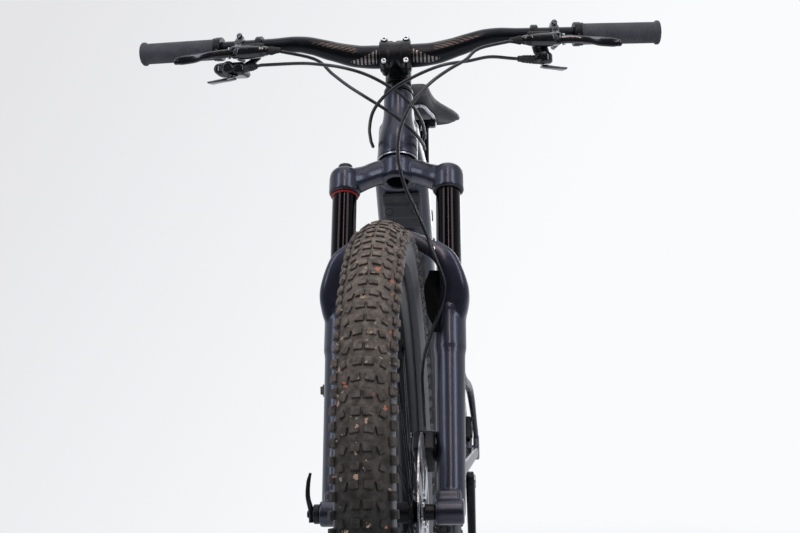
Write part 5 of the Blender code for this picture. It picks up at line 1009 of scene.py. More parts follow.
for wheel, (centre, width, right, left, driver) in WHEELS.items():
    body = f"{wheel}_wheel"
    hub_frame = wheelwise(centre)
    half = width / 2 - GAP
    seat = width / 2 - 0.015
    profile = [(0.0078, -half), (0.0098, -half), (0.0105, 0.0007 - half)]
    if driver:
        profile += [(0.0105, 0.008 - half), (0.0166, 0.008 - half), (0.0172, 0.0086 - half),
                    (0.0172, 0.008 - half + driver)]
    else:
        profile += [(0.0105, -right - 0.0095), (0.0125, -right - 0.0060)]
    for flange in (-right, left):
        profile += [(0.0135, flange - 0.0040), (0.0200, flange - 0.0028), (0.0279, flange - 0.0025),
                    (0.0285, flange - 0.0019), (0.0285, flange + 0.0019), (0.0279, flange + 0.0025),
                    (0.0200, flange + 0.0028), (0.0135, flange + 0.0040)]
    profile += [(0.0170, seat - 0.006), (0.0170, seat + 0.0031), (0.0166, seat + 0.0035),
                (0.0105, seat + 0.0035), (0.0105, half - 0.0007), (0.0098, half), (0.0078, half)]
    show(f"{wheel}_hub_shell", lathe(profile, 72, hub_frame), alloy, body, "black_alloy", f"{wheel}_hub")
    turn = wheelwise(centre + seat * SIDEWAYS)
    show(f"{wheel}_disc", pressed(disc, 0.002, turn), disc_steel, body, "steel", f"{wheel}_rotor")
    screws = bmesh.new()
    for i in range(arms):
        angle = tau * i / arms
        cap_screw(turn @ Vector((0.0232 * cos(angle), 0.0232 * sin(angle), 0.001)), SIDEWAYS, 0.0036, 0.0018,
                  screws)
    show(f"{wheel}_disc_screws", screws, steel, body, "steel")

# BRAKE CALIPERS
# Each caliper is two halves of forged alloy bolted round the disc's edge, anodised black, with a
# piston cap on each side. Its hose comes in through a banjo fitting.


def caliper(name, body, x, matrix):
    block_body = block((x - 0.0148, -0.017, -0.026), (x + 0.0148, 0.017, 0.026), matrix, 0.005, 4)
    shell = carved(block_body, block((x - 0.0022, -0.03, -0.04), (x + 0.0022, 0.010, 0.04), matrix))
    for side in (-1, 1):
        cap = frame_on(matrix @ Vector((x + side * 0.0140, -0.003, 0.0)), SIDEWAYS * side, UPRIGHT)
        lathe(mm("0 0, 12.5 0, 12.5 1.2, 11.6 2.1, 7 2.1, 6.2 1.4, 0 1.4"), 40, cap, shell)
    for z in (-0.019, 0.019):
        rod_in(matrix, (x - 0.0165, 0.0125, z), (x + 0.0165, 0.0125, z), 0.0042, 24, 0.0006, into=shell)
    show(f"{name}_body", shell, alloy, body, "black_alloy", name)
    fixings = bmesh.new()
    for z in (-0.019, 0.019):
        cap_screw(matrix @ Vector((x - 0.0164, 0.0125, z)), -SIDEWAYS, 0.0034, 0.0014, fixings)
    rod_in(matrix, (x - 0.0100, 0.0050, 0.0), (x + 0.0100, 0.0050, 0.0), 0.0013, 12, into=fixings)
    show(f"{name}_fixings", fixings, steel, body, "steel")
    banjo = lathe(mm("0 15.5, 5.2 15.5, 5.6 16, 5.6 18.8, 5 19.3, 0 19.3"), 28,
                  at(matrix, x, 0, 0.010) @ Matrix.Rotation(-pi / 2, 4, "X"))
    show(f"{name}_banjo", banjo, alloy, body, "black_alloy")


caliper("front_caliper", "fork_lowers", 0.040, FRONT_CALIPER)
caliper("rear_caliper", "frame", 0.059, REAR_CALIPER)

# STEM
# Forged and machined alloy, anodised black. It pinches the steerer, and a skeleton faceplate holds
# the bar with four screws. A cap on top preloads the bearings.

STEM_LOW = 0.680
STEM_MIDDLE = 0.700
STEM_TOP = 0.720
STEM_REACH = 0.0507
BAR_CENTRE = on_fork(0, -STEM_REACH, STEM_MIDDLE)
BOLT_RISE = 0.0195
BAR_CLAMP = 0.0230


def bar_tunnel(radius):
    return crossbar(BAR_CENTRE, -0.1, 0.1, radius, 64)


def beyond(limit, front):
    """A cutter for everything in front of, or behind, a plane square to the stem."""
    near, far = (-0.3, limit) if front else (limit, 0.3)
    return block((-0.2, near, 0.4), (0.2, far, 0.9), STEERING)


body = lathe([(0, STEM_LOW), (0.0190, STEM_LOW), (0.0198, STEM_LOW + 0.0008), (0.0198, STEM_TOP - 0.0008),
              (0.0190, STEM_TOP), (0, STEM_TOP)], 56, STEERING)
block((-0.0160, -STEM_REACH, STEM_LOW + 0.0055), (0.0160, 0, STEM_TOP - 0.0055), STEERING, 0.005, 4, body)
block((-0.0115, 0.004, STEM_LOW + 0.002), (0.0115, 0.0245, STEM_TOP - 0.002), STEERING, 0.003, 3, body)
for side in (-1, 1):
    crossbar(BAR_CENTRE, side * 0.0095, side * 0.0235, BAR_CLAMP, 64, 0.0008, into=body)
    for level in (-1, 1):
        lug = on_fork(side * 0.0165, -STEM_REACH + 0.002, STEM_MIDDLE + level * BOLT_RISE)
        rod(lug, lug + STEER_BACK * 0.014, 0.0055, 28, 0.0006, 0.0048, into=body)
body = cast(body, 0.0008, 6)
body = carved(body, bar_tunnel(0.0178), beyond(0.0008 - STEM_REACH, True),
              rod_in(STEERING, (0, 0, 0.60), (0, 0, 0.80), 0.0146, 56),
              block((-0.0007, 0.010, 0.6), (0.0007, 0.05, 0.8), STEERING),
              block((-0.0090, -0.040, STEM_LOW + 0.013), (0.0090, -0.0215, STEM_TOP + 0.02), STEERING, 0.003))
show("stem_forging", body, alloy, "steering", "black_alloy", "stem_body", corner=40)

plate = crossbar(BAR_CENTRE, -0.0120, 0.0120, BAR_CLAMP - 0.0012, 64, 0.0008)
for side in (-1, 1):
    crossbar(BAR_CENTRE, side * 0.0095, side * 0.0235, BAR_CLAMP, 64, 0.0008, into=plate)
    for level in (-1, 1):
        lug = on_fork(side * 0.0165, -STEM_REACH - 0.0158, STEM_MIDDLE + level * BOLT_RISE)
        rod(lug, lug + STEER_BACK * 0.0150, 0.0054, 28, 0.0008, into=plate)
for level in (-1, 1):
    rod_in(STEERING, (-0.020, -STEM_REACH - 0.0095, STEM_MIDDLE + level * 0.0165),
           (0.020, -STEM_REACH - 0.0095, STEM_MIDDLE + level * 0.0165), 0.0042, 28, into=plate)
plate = cast(plate, 0.0007, 6)
notch = rod_in(STEERING, (-0.001, -STEM_REACH, STEM_MIDDLE + 0.0255),
               (-0.001, -STEM_REACH - 0.05, STEM_MIDDLE + 0.0255), 0.0105, 4)
arch = rod_in(STEERING, (0, -STEM_REACH, STEM_MIDDLE - 0.0250), (0, -STEM_REACH - 0.05, STEM_MIDDLE - 0.0250),
              0.0090, 32)
plate = carved(plate, bar_tunnel(0.0178), beyond(-STEM_REACH - 0.0008, False), notch, arch)
show("faceplate", plate, alloy, "steering", "black_alloy", "stem_faceplate", corner=40)
screws = bmesh.new()
for side in (-1, 1):
    for level in (-1, 1):
        head = on_fork(side * 0.0165, -STEM_REACH - 0.0152, STEM_MIDDLE + level * BOLT_RISE)
        cap_screw(head, -STEER_BACK, 0.0040, 0.0036, screws)
for height in (0.689, 0.711):
    cap_screw(on_fork(0.0112, 0.0190, height), SIDEWAYS, 0.0040, 0.0034, screws)
show("stem_screws", screws, steel, "steering", "steel")
cap = lathe([(0, STEM_TOP + 0.0002), (0.0178, STEM_TOP + 0.0002), (0.0184, STEM_TOP + 0.0010),
             (0.0180, STEM_TOP + 0.0030), (0.0150, STEM_TOP + 0.0042), (0.0060, STEM_TOP + 0.0042),
             (0.0052, STEM_TOP + 0.0020), (0, STEM_TOP + 0.0020)], 56, STEERING)
show("top_cap", cap, alloy, "steering", "black_alloy")
show("top_cap_screw", cap_screw(on_fork(0, 0, STEM_TOP + 0.0016), STEERING.to_3x3() @ UPRIGHT, 0.0045,
                                0.0024), steel, "steering", "steel")

# HANDLEBAR
# A butted alloy riser bar, drawn down in steps from its thick middle to its thin ends, then bent
# and anodised. A plain pattern of fine bars is etched beside the clamp and along both bends.

KINK = BAR_CENTRE + Vector((0.150, 0.003, 0.025))
BAR_OUT = Vector((0.245, 0.040, 0.004))


def on_bar(place, side=1):
    point = KINK + BAR_OUT * ((place - 0.150) / BAR_OUT.x)
    return Vector((side * point.x, point.y, point.z))


def bar_frame(place, side=1):
    """On the straight end of the bar: z runs outward, x points up and y to the rear."""
    out = Vector((side * BAR_OUT.x, BAR_OUT.y, BAR_OUT.z)).normalized()
    up = (UPRIGHT - out * UPRIGHT.dot(out)).normalized()
    back = Vector((0, 1, 0))
    back = (back - out * back.dot(out)).normalized()
    return Matrix.Translation(on_bar(place, side)) @ Matrix((up, back, out)).transposed().to_4x4()


# Fine etched bars 5.7 mm apart: upright and pale beside the clamp, where they shrink outward, then
# slanted and bronze along the top of each bend; elsewhere the tube is plain fine-blasted black
bar_alloy, tree, shader, place = finish("etched_black_bar_alloy", "1d1e21", 0.30, 0.8)
parts = add_node(tree, "SeparateXYZ", {0: place})
away = add_node(tree, "Math", {0: parts}, operation="ABSOLUTE")
bend = add_node(tree, "MapRange", {0: away, 1: 0.052, 2: 0.130, 3: BAR_CENTRE.z, 4: BAR_CENTRE.z + 0.0220})
height = add_node(tree, "Math", {0: parts.outputs[2], 1: bend}, operation="SUBTRACT")
etched = hex_colour("1b1c20")
bands = ((0.0, 0.0057, 0.50, 0.027, 0.066, -0.013, 0.007, "8c8680"),
         (1.6, 0.0075, 0.55, 0.058, 0.124, 0.001, 0.020, "4a423c"))
for slant, pitch, width, first, last, low, high, code in bands:
    slope = add_node(tree, "Math", {0: height, 1: slant, 2: away}, operation="MULTIPLY_ADD")
    phase = add_node(tree, "Math", {0: slope, 1: 1 / pitch}, operation="MULTIPLY")
    saw = add_node(tree, "Math", {0: phase}, operation="FRACT")
    mark = add_node(tree, "Math", {0: saw, 1: width}, operation="GREATER_THAN")
    ceiling = add_node(tree, "MapRange", {0: away, 1: first, 2: last, 3: high, 4: low + 0.002})
    under = add_node(tree, "Math", {0: height, 1: ceiling}, operation="LESS_THAN")
    over = add_node(tree, "Math", {0: height, 1: low}, operation="GREATER_THAN")
    began = add_node(tree, "Math", {0: away, 1: first}, operation="GREATER_THAN")
    ended = add_node(tree, "Math", {0: away, 1: last}, operation="LESS_THAN")
    shown = mark
    for limit in (under, over, began, ended):
        shown = add_node(tree, "Math", {0: shown, 1: limit}, operation="MULTIPLY")
    etched = add_node(tree, "Mix", {0: shown, 6: etched, 7: hex_colour(code)}, data_type="RGBA").outputs[2]
tree.links.new(etched, shader.inputs["Base Color"])
grained(tree, shader, place, 0.0008, 0.00002, rough=(0.26, 0.38))

half = [BAR_CENTRE + Vector(p) for p in mm("0 0 0, 30 0 0, 60 0 2.6, 95 0 11.6, 125 0 20.6")]
half += [on_bar(0.150), on_bar(0.185), on_bar(0.225), on_bar(0.395)]
radii = [0.0175, 0.0175, 0.0165, 0.0145, 0.0130, 0.0120, 0.0111, 0.0111, 0.0111]
line = [Vector((-p.x, p.y, p.z)) for p in reversed(half[1:])] + half
bar_sizes = [(r, r) for r in list(reversed(radii[1:])) + radii]
bar = sweep_along(line, bar_sizes, 161, 2.0, UPRIGHT, 40)
show("riser_bar", bar, bar_alloy, "steering", "black_alloy", "handlebar", corner=50)

# GRIPS
# Soft rubber moulded on a hard sleeve, with ribs and a flange at each end. An alloy ring at the
# inner end locks it to the bar with one screw.

GRIP_START = 0.265
# Grip rubber: dark slate and matt, with faint dust in patches
grip_rubber = plain_finish("slate_grip_rubber", "35363b", 0.66, 0.0, (0.0009, 0.00005), (0.56, 0.74),
                           ("34353a", "46464b", 0.45, 0.8, 0.020), Specular_IOR_Level=0.4)
for side, name in reversed(SIDES):
    line = mm("11.45 10.5, 16 10.5, 17.2 11.6, 17.2 13.4, 16.2 14.6")
    height = 0.0165
    while height < 0.1190:
        line += [(0.0158, height), (0.0158, height + 0.0020), (0.01555, height + 0.0023),
                 (0.01555, height + 0.0026)]
        height += 0.0029
    line += mm("15.8 122.5, 16.8 124.5, 18 125.6, 18 128.8, 17 130, 10 130.2, 10 129.2, 11.45 128.5")
    frame_here = bar_frame(GRIP_START, side)
    sleeve = lathe(line, 64, frame_here)
    show(f"grip_{name}_sleeve", sleeve, grip_rubber, "steering", "grip_rubber", f"grip_{name}", corner=50)
    plug = lathe(mm("0 126, 10.8 126, 11.2 130, 10.6 130.8, 0 130.8"), 40, frame_here)
    show(f"bar_plug_{name}", plug, plastic, "steering", "black_plastic")
    ring = lathe(mm("11.45 0, 17.2 0, 18 0.8, 18 9, 17.2 10, 11.45 10"), 56, frame_here)
    lug = frame_here @ Vector((0.0, 0.0150, 0.0050))
    rod(lug - frame_here.to_3x3() @ Vector((0.006, 0, 0)), lug + frame_here.to_3x3() @ Vector((0.006, 0, 0)),
        0.0040, 24, 0.0006, into=ring)
    show(f"lock_ring_{name}", ring, alloy, "steering", "black_alloy")
    screw = cap_screw(frame_here @ Vector((-0.0050, -0.0155, 0.0050)),
                      frame_here.to_3x3() @ Vector((-0.3, -1, 0)), 0.0026, 0.0018)
    show(f"lock_ring_screw_{name}", screw, steel, "steering", "steel")

# BRAKE LEVERS
# A cast master cylinder hangs in front of the bar on a two-part clamp. The blade is forged alloy,
# turns on a pin in it, and has a rounded end. All is gloss black; the screws are bright.

# Gloss black over die-cast alloy: a thin hard coat with a clear reflection
gloss = plain_finish("gloss_black_coat", "151518", 0.20, 0.35, (0.0016, 0.00001), (0.16, 0.30),
                     Coat_Weight=0.6, Coat_Roughness=0.06)
MASTER = Vector((-0.014, -0.030, 0))
MASTER_LENGTH = 0.056
for side, name in reversed(SIDES):
    here = bar_frame(0.236, side)
    turn = here.to_3x3()
    body = lathe(mm("10 -6, 14.8 -6, 15.6 -5.2, 15.6 5.2, 14.8 6, 10 6"), 48, here)
    arm = placed(here, mm("-3 -13.5 0, -8 -21 -1, -14 -30 -4"))
    sweep_along(arm, mm("7.5 6, 6.5 5.5, 8 7.5"), 12, 2.4, SIDEWAYS, 24, body)
    heights = (-0.056, -0.050, -0.038, -0.024, -0.010, -0.003)
    barrel = [here @ Vector((MASTER.x, MASTER.y, z)) for z in heights]
    sweep_along(barrel, mm("5.2 5.2, 7 7.2, 9.4 10.2, 10.3 11, 10.5 11.2, 8 8.6"), 40, 2.3, UPRIGHT, 36, body)
    block((-0.0225, -0.038, -0.010), (-0.0045, -0.0220, 0.0050), here, 0.0035, 3, body)
    for x in (-0.0135, 0.0135):
        rod_in(here, (x * 1.25, -0.009, 0), (x * 1.25, 0.009, 0), 0.0046, 24, 0.0006, into=body)
    body = cast(body, 0.0007, 5)
    body = carved(body, rod_in(here, (0, 0, -0.02), (0, 0, 0.02), 0.01145, 56),
                  block((-0.03, -0.0006, -0.02), (-0.0117, 0.0006, 0.02), here),
                  block((0.0117, -0.0006, -0.02), (0.03, 0.0006, 0.02), here),
                  block((-0.0185, -0.0415, 0.0005), (-0.0095, -0.018, 0.02), here))
    show(f"brake_master_{name}_casting", body, gloss, "steering", "lever_black", f"brake_master_{name}",
         corner=45)
    bits = bmesh.new()
    for x in (-0.0169, 0.0169):
        cap_screw(here @ Vector((x, -0.0088, 0)), turn @ Vector((0, -1, 0)), 0.0032, 0.0024, bits)
    pivot_here = bar_frame(0.244, side) @ MASTER
    rod(pivot_here - turn @ Vector((0.0085, 0, 0)), pivot_here + turn @ Vector((0.0085, 0, 0)), 0.0024, 20,
        0.0004, into=bits)
    show(f"brake_master_{name}_screws", bits, steel, "steering", "steel")
    lid = block((-0.0090, -0.0362, -0.046), (-0.0022, -0.0238, -0.012), here, 0.0022, 3)
    show(f"reservoir_lid_{name}", lid, plastic, "steering", "black_plastic")

    near = bar_frame(0.244, side)
    steps = mm("0 0 -4.5, -1 -3 10, -2.5 -7.5 22, -4.2 -9.2 36, -6.3 -7.5 54, -8.2 -8.5 70, "
               "-10 -11.2 81.5")
    blade = sweep_along([pivot_here + near.to_3x3() @ Vector(p) for p in steps],
                        mm("4.4 6.4, 4.8 6.2, 3.6 5.4, 3.3 5.6, 3.4 7, 3.2 6.8, 3 5"), 48, 2.6,
                        near.to_3x3() @ Vector((0, 1, 0)), 24)
    tip = pivot_here + near.to_3x3() @ Vector((-0.0100, -0.0110, 0.0805))
    tip_ball = bmesh.new()
    tip_size = Matrix.Diagonal((0.0052, 0.0032, 0.0044, 1))
    tip_place = Matrix.Translation(tip) @ near.to_3x3().to_4x4() @ tip_size
    bmesh.ops.create_uvsphere(tip_ball, u_segments=24, v_segments=14, radius=1, matrix=tip_place)
    fitted(tip_ball, IN_PLACE, blade)
    blade = cast(blade, 0.0006, 3)
    show(f"brake_lever_{name}_blade", blade, gloss, f"brake_lever_{name}", "lever_black",
         f"brake_lever_{name}", corner=60)

# SHIFTER
# A moulded pod under the bar on the right, with a thumb paddle, a release paddle below it, and a
# ribbed barrel where the cable housing goes in.

here = bar_frame(0.206, -1)
turn = here.to_3x3()
POD = Vector((-0.036, -0.010, 0.042))
clamp_line = mm("11.45 -4.5, 14.8 -4.5, 15.4 -3.9, 15.4 3.9, 14.8 4.5, 11.45 4.5")
body = lathe(clamp_line, 48, here)
sweep_along(placed(here, mm("-15 -4 1, -24 -6 11, -32 -8 24")), mm("5 6, 4.6 5.8, 5 6"), 12, 2.4, SIDEWAYS,
            20, body)
show("shifter_clamp", body, alloy, "steering", "black_alloy")
pod = block(POD - Vector((0.0105, 0.0185, 0.026)), POD + Vector((0.0100, 0.0185, 0.020)), here, 0.0070, 5)
rod(here @ (POD + Vector((0.0005, 0.0150, -0.001))), here @ (POD + Vector((0.0005, -0.0232, -0.001))), 0.0104,
    48, 0.0035, into=pod)
rod(here @ (POD + Vector((0.0005, 0.0100, 0.0150))), here @ (POD + Vector((0.0005, -0.0180, 0.0150))), 0.0085,
    40, 0.0030, into=pod)
pod = cast(pod, 0.0007, 5)
show("shifter_pod", pod, gloss, "steering", "black_plastic", "shifter_body", corner=45)
barrel_root = here @ (POD + Vector((0, -0.010, -0.024)))
barrel_end = here @ (POD + Vector((0.002, -0.012, -0.044)))
ribbed = [(0, 0), (0.0062, 0)]
for k in range(5):
    ribbed += [(0.0062, 0.0012 + 0.0030 * k), (0.0056, 0.0018 + 0.0030 * k), (0.0056, 0.0024 + 0.0030 * k),
               (0.0060 - 0.0002 * k, 0.0030 + 0.0030 * k)]
ribbed += [(0.0050, 0.0175), (0.0042, (barrel_end - barrel_root).length),
           (0, (barrel_end - barrel_root).length)]
show("shifter_barrel", lathe(ribbed, 32, frame_on(barrel_root, barrel_end - barrel_root)), plastic,
     "steering", "black_plastic")
show("shifter_clamp_screw", cap_screw(here @ Vector((-0.010, -0.0150, 0)), turn @ Vector((-0.2, -1, 0)),
                                      0.0030, 0.0020), steel, "steering", "steel")
root = here @ (POD + Vector((-0.013, -0.002, 0.002)))
paddle = sweep_along([root + turn @ Vector(p) for p in mm("0 0 -8, -1 1 4, -2 3 18, -3 8 34")],
                     mm("2 5, 2.4 6.4, 2.2 7, 1.7 8.8"), 24, 3.0, turn @ Vector((1, 0, 0)), 24)
show("shifter_paddle_arm", paddle, gloss, "shifter_paddle", "lever_black", "shifter_paddle")
release = sweep_along([here @ (POD + Vector(p)) for p in mm("-10.5 -12 -12, -13.5 -17 -7, -16 -21 0")],
                      mm("1.8 5, 2 6, 1.5 5.2"), 14, 3.0, turn @ Vector((1, 0, 0)), 20)
show("release_paddle", release, gloss, "steering", "lever_black")

# DROPPER REMOTE
# A small lever under the bar on the left, which pulls the cable that frees the seat post.

here = bar_frame(0.206, 1)
turn = here.to_3x3()
body = lathe(clamp_line, 48, here)
sweep_along(placed(here, mm("-15 -3 0, -25 -5 2, -34 -7 6, -41 -8 8")), mm("5 6.2, 5 7, 6.2 8.5, 7 9"), 14,
            2.4, SIDEWAYS, 20, body)
show("remote_clamp", body, alloy, "steering", "black_alloy", "dropper_remote")
housing = rod_in(here, (-0.0300, -0.011, 0.013), (-0.0462, -0.011, 0.013), 0.0115, 40, 0.0030)
block((-0.0440, -0.0215, -0.004), (-0.0300, 0.0010, 0.018), here, 0.0050, 4, housing)
rod_in(here, (-0.0200, -0.008, 0.010), (-0.0330, -0.011, 0.013), 0.0080, 36, 0.0010, into=housing)
show("remote_housing", cast(housing, 0.0007, 6), gloss, "steering", "lever_black", corner=45)
barrel_root, barrel_end = here @ Vector((-0.040, -0.010, 0.012)), here @ Vector((-0.038, -0.014, -0.028))
reach = (barrel_end - barrel_root).length
ribbed = mm("0 0, 6 0, 6.6 1, 6.6 18")
for k in range(4):
    ribbed += [(0.0058, 0.0190 + 0.0040 * k), (0.0058, 0.0200 + 0.0040 * k),
               (0.0065 - 0.0004 * k, 0.0206 + 0.0040 * k), (0.0065 - 0.0004 * k, 0.0222 + 0.0040 * k)]
ribbed += [(0.0046, 0.0362), (0.0045, reach), (0, reach)]
show("remote_barrel", lathe(ribbed, 32, frame_on(barrel_root, barrel_end - barrel_root)), plastic, "steering",
     "black_plastic")
show("remote_screw", cap_screw(here @ Vector((-0.010, -0.0150, 0)), turn @ Vector((-0.2, -1, 0)), 0.0030,
                               0.0020), steel, "steering", "steel")
root = here @ Vector((-0.0486, -0.010, 0.014))
arm = sweep_along([root + turn @ Vector(p) for p in mm("0 4 -6, -1 5 2, -2 8 14, -3 14 30")],
                  mm("2.2 6, 2.5 7.2, 2.2 7.8, 1.8 9.8"), 24, 3.0, turn @ Vector((1, 0, 0)), 24)
show("dropper_lever_arm", arm, gloss, "dropper_lever", "lever_black", "dropper_lever")

# HOSES AND HOUSINGS
# Nylon brake hoses and cable housings, 5 mm thick with a smooth black skin. They hang in loops in
# front of the head tube and go into the frame beside it, or down the left leg to the caliper.

# Extruded nylon: smooth and slightly shiny
nylon = plain_finish("extruded_black_nylon", "0d0d10", 0.30, 0.0, (0.0060, 0.000002), (0.26, 0.34))


def master_exit(side):
    here = bar_frame(0.236, side)
    start = here @ Vector((MASTER.x, MASTER.y, -MASTER_LENGTH - GAP))
    return [start, start - here.to_3x3() @ Vector((0, 0, 0.008))]


def barrel_exit(side, root, end):
    here = bar_frame(0.206, side)
    away = (here @ Vector(end) - here @ Vector(root)).normalized()
    return [here @ Vector(end) + away * GAP, here @ Vector(end) + away * 0.008]


def hose(name, points, a, b, start, end):
    """Lays a hose through its points; a and b, the bodies that its ends follow, are not used."""
    points = [Vector(p) for p in points]
    length = sum((q - p).length for p, q in zip(points[1:], points[2:-1]))
    path = points[:1] + curve_through(points[1:-1], round(length / 0.0075)) + points[-1:]
    tube = curve_shape([path], False, dimensions="3D", bevel_depth=0.0025, bevel_resolution=3,
                       use_fill_caps=True)
    made = piece(f"{name}_tube", fitted(tube, IN_PLACE), nylon, 50)
    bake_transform(made)
    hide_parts(name)


for side, name in SIDES:
    start, onward = master_exit(side)
    boot = lathe(mm("2.6 -1, 6.2 -1, 6.6 0.6, 6.4 4, 5.4 5.2, 5.6 6.6, 5 8.4, 4.6 9.6, 4.7 11, 4 15, "
                    "3.4 17, 2.6 17.4"),
                 36, frame_on(start, onward - start))
    show(f"hose_boot_{name}", boot, rubber, "steering", "hose_black", corner=50)


head_ports = placed(STEERING, mm("0 -85 585, 0 -12 585"))
route = mm("-117 -80 680, -91 -79 654, -66 -85 627, -39 -91 602, -9 -85 582, 16 -62 572, 31 -31 571, "
           "38 0 574, 38.5 13 575")
hose("rear_brake_hose", master_exit(-1) + placed(STEERING, route), "steering", "frame", *head_ports)
route = mm("-140 -88 668, -107 -109 650, -71 -123 633, -33 -127 615, 3 -112 599, 27 -79 592, "
           "38 -38 590, 40 -2 592, 38.5 11 593")
ends = barrel_exit(-1, POD + Vector((0, -0.010, -0.024)), POD + Vector((0.002, -0.012, -0.044)))
hose("shift_housing", ends + placed(STEERING, route), "steering", "frame", *head_ports)
route = mm("140 -83 669, 109 -106 647, 73 -124 629, 35 -129 609, -2 -121 590, -27 -91 580, "
           "-38 -45 579, -40 -3 582, -38.5 13 583")
ends = barrel_exit(1, (-0.040, -0.010, 0.012), (-0.038, -0.014, -0.028))
hose("dropper_housing", ends + placed(STEERING, route), "steering", "frame", *head_ports)
port = FRONT_CALIPER @ Vector((0.040, 0.0193, 0.010))
outward = FRONT_CALIPER.to_3x3() @ Vector((0, 0.008, 0))
slide = placed(STEERING, mm("0 -100 600, 0 -100 380"))
route = mm("126 -101 672, 106 -118 641, 81 -134 613, 56 -145 584, 32 -147 552, 15 -139 516, "
           "11 -126 479, 19 -111 442, 34 -96 408, 49 -80 376, 60 -78 343, 70 -68 314, 68 -59 293, "
           "62.5 -54 275, 52 -48 250, 42.5 -43 222, 38 -35 194, 38.5 -24 165")
hose("front_brake_hose", master_exit(1) + placed(STEERING, route) + [port + outward, port], "steering",
     "fork_lowers", *slide)

# SEAT POST
# A dropper post: a black plated inner tube slides in an anodised outer one, under a turned collar
# with a wiper. A split ring with one screw pinches the outer tube in the frame.

SEAT_TOP = 0.400
POST_TOP = 0.470
SADDLE_HEIGHT = 1.088
SADDLE_LENGTH = 0.265
CLAMP = SEATING @ Vector((0, 0, (SADDLE_HEIGHT - 0.034 - 0.020 - 0.396) / sin(SEAT_LEAN)))
RAIL_PLACE = (CLAMP - SEATING.translation).length
outer = lathe([(0.0128, 0.130), (0.0154, 0.130), (0.0158, 0.1304), (0.0158, POST_TOP - 0.020),
               (0.0180, POST_TOP - 0.020), (0.0185, POST_TOP - 0.0192), (0.0185, POST_TOP - 0.0120),
               (0.0181, POST_TOP - 0.0116), (0.0181, POST_TOP - 0.0106), (0.0185, POST_TOP - 0.0102),
               (0.0185, POST_TOP - 0.0035), (0.0172, POST_TOP - 0.0006), (0.0165, POST_TOP),
               (0.0128, POST_TOP)], 64, SEATING)
show("post_outer_tube", outer, alloy, "frame", "black_alloy", "seatpost_outer")
ring = lathe([(0.0161, SEAT_TOP + GAP), (0.0214, SEAT_TOP + GAP), (0.0220, SEAT_TOP + 0.0009),
              (0.0220, SEAT_TOP + 0.0104), (0.0214, SEAT_TOP + 0.011), (0.0161, SEAT_TOP + 0.011)], 64,
              SEATING)
block((-0.009, 0.019, SEAT_TOP + 0.001), (0.009, 0.030, SEAT_TOP + 0.0105), SEATING, 0.002, 3, ring)
ring = cast(ring, 0.0006, 4)
ring = carved(ring, rod_in(SEATING, (0, 0, SEAT_TOP - 0.01), (0, 0, SEAT_TOP + 0.02), 0.0161, 64),
              block((-0.0007, 0.014, SEAT_TOP - 0.01), (0.0007, 0.04, SEAT_TOP + 0.02), SEATING))
show("seat_clamp_ring", ring, alloy, "frame", "black_alloy", "seat_clamp")
show("seat_clamp_screw", cap_screw(SEATING @ Vector((0.0086, 0.0252, SEAT_TOP + 0.0057)), SIDEWAYS, 0.0038,
                                   0.0030), steel, "frame", "steel")
foot, head = 0.284, RAIL_PLACE - 0.0095
inner = lathe([(0, foot), (0.0121, foot), (0.0125, foot + 0.0004), (0.0125, head - 0.012),
               (0.0140, head - 0.004), (0.0140, head), (0, head)], 64, SEATING)
show("post_inner_tube", inner, plated, "dropper_post", "black_alloy", "seatpost_inner")
yokes = block((-0.0262, -0.0130, -0.0150), (0.0262, 0.0130, -0.0005), Matrix.Translation(CLAMP), 0.0040, 4)
for side in (-1, 1):
    block((side * 0.0165, -0.0200, -0.0100), (side * 0.0270, 0.0200, 0.0), Matrix.Translation(CLAMP), 0.0025,
          3, yokes)
    block((side * 0.0168, -0.0165, 0.0008), (side * 0.0268, 0.0165, 0.0058), Matrix.Translation(CLAMP),
          0.0018, 3, yokes)
yokes = cast(yokes, 0.0008, 4)
yokes = carved(yokes, *[rod(CLAMP + Vector((side * 0.022, -0.05, 0)), CLAMP + Vector((side * 0.022, 0.05, 0)),
                            0.0037, 24) for side in (-1, 1)])
show("rail_clamp", yokes, alloy, "dropper_post", "black_alloy", corner=45)
bolts = bmesh.new()
for y in (-0.0165, 0.0165):
    rod(CLAMP + Vector((0, y, -0.022)), CLAMP + Vector((0, y, 0.001)), 0.0026, 16, into=bolts)
    cap_screw(CLAMP + Vector((0, y, -0.0205)), (0, 0, -1), 0.0042, 0.0030, bolts)
show("rail_clamp_screws", bolts, steel, "dropper_post", "steel")

# SADDLE
# Foam on a nylon shell under one stretched synthetic cover, with a shallow channel along its
# middle. Steel rails plug into its ends.

NOSE = CLAMP.y - SADDLE_LENGTH * 0.52
shares = (0.0, 0.02, 0.05, 0.09, 0.14, 0.21, 0.28, 0.35, 0.42, 0.49, 0.56, 0.62, 0.68, 0.74, 0.80, 0.85, 0.90,
          0.94, 0.97, 0.99, 1.0)
KNOWN = ((0.0, 0.10), (0.05, 0.25), (0.14, 0.29), (0.28, 0.34), (0.42, 0.42), (0.56, 0.60), (0.68, 0.80),
         (0.80, 0.97), (0.90, 1.0), (0.97, 0.86), (1.0, 0.55))


def saddle_width(share):
    for (a, low), (b, high) in zip(KNOWN, KNOWN[1:]):
        if share <= b:
            t = (share - a) / (b - a)
            return low + (high - low) * t
    return KNOWN[-1][1]


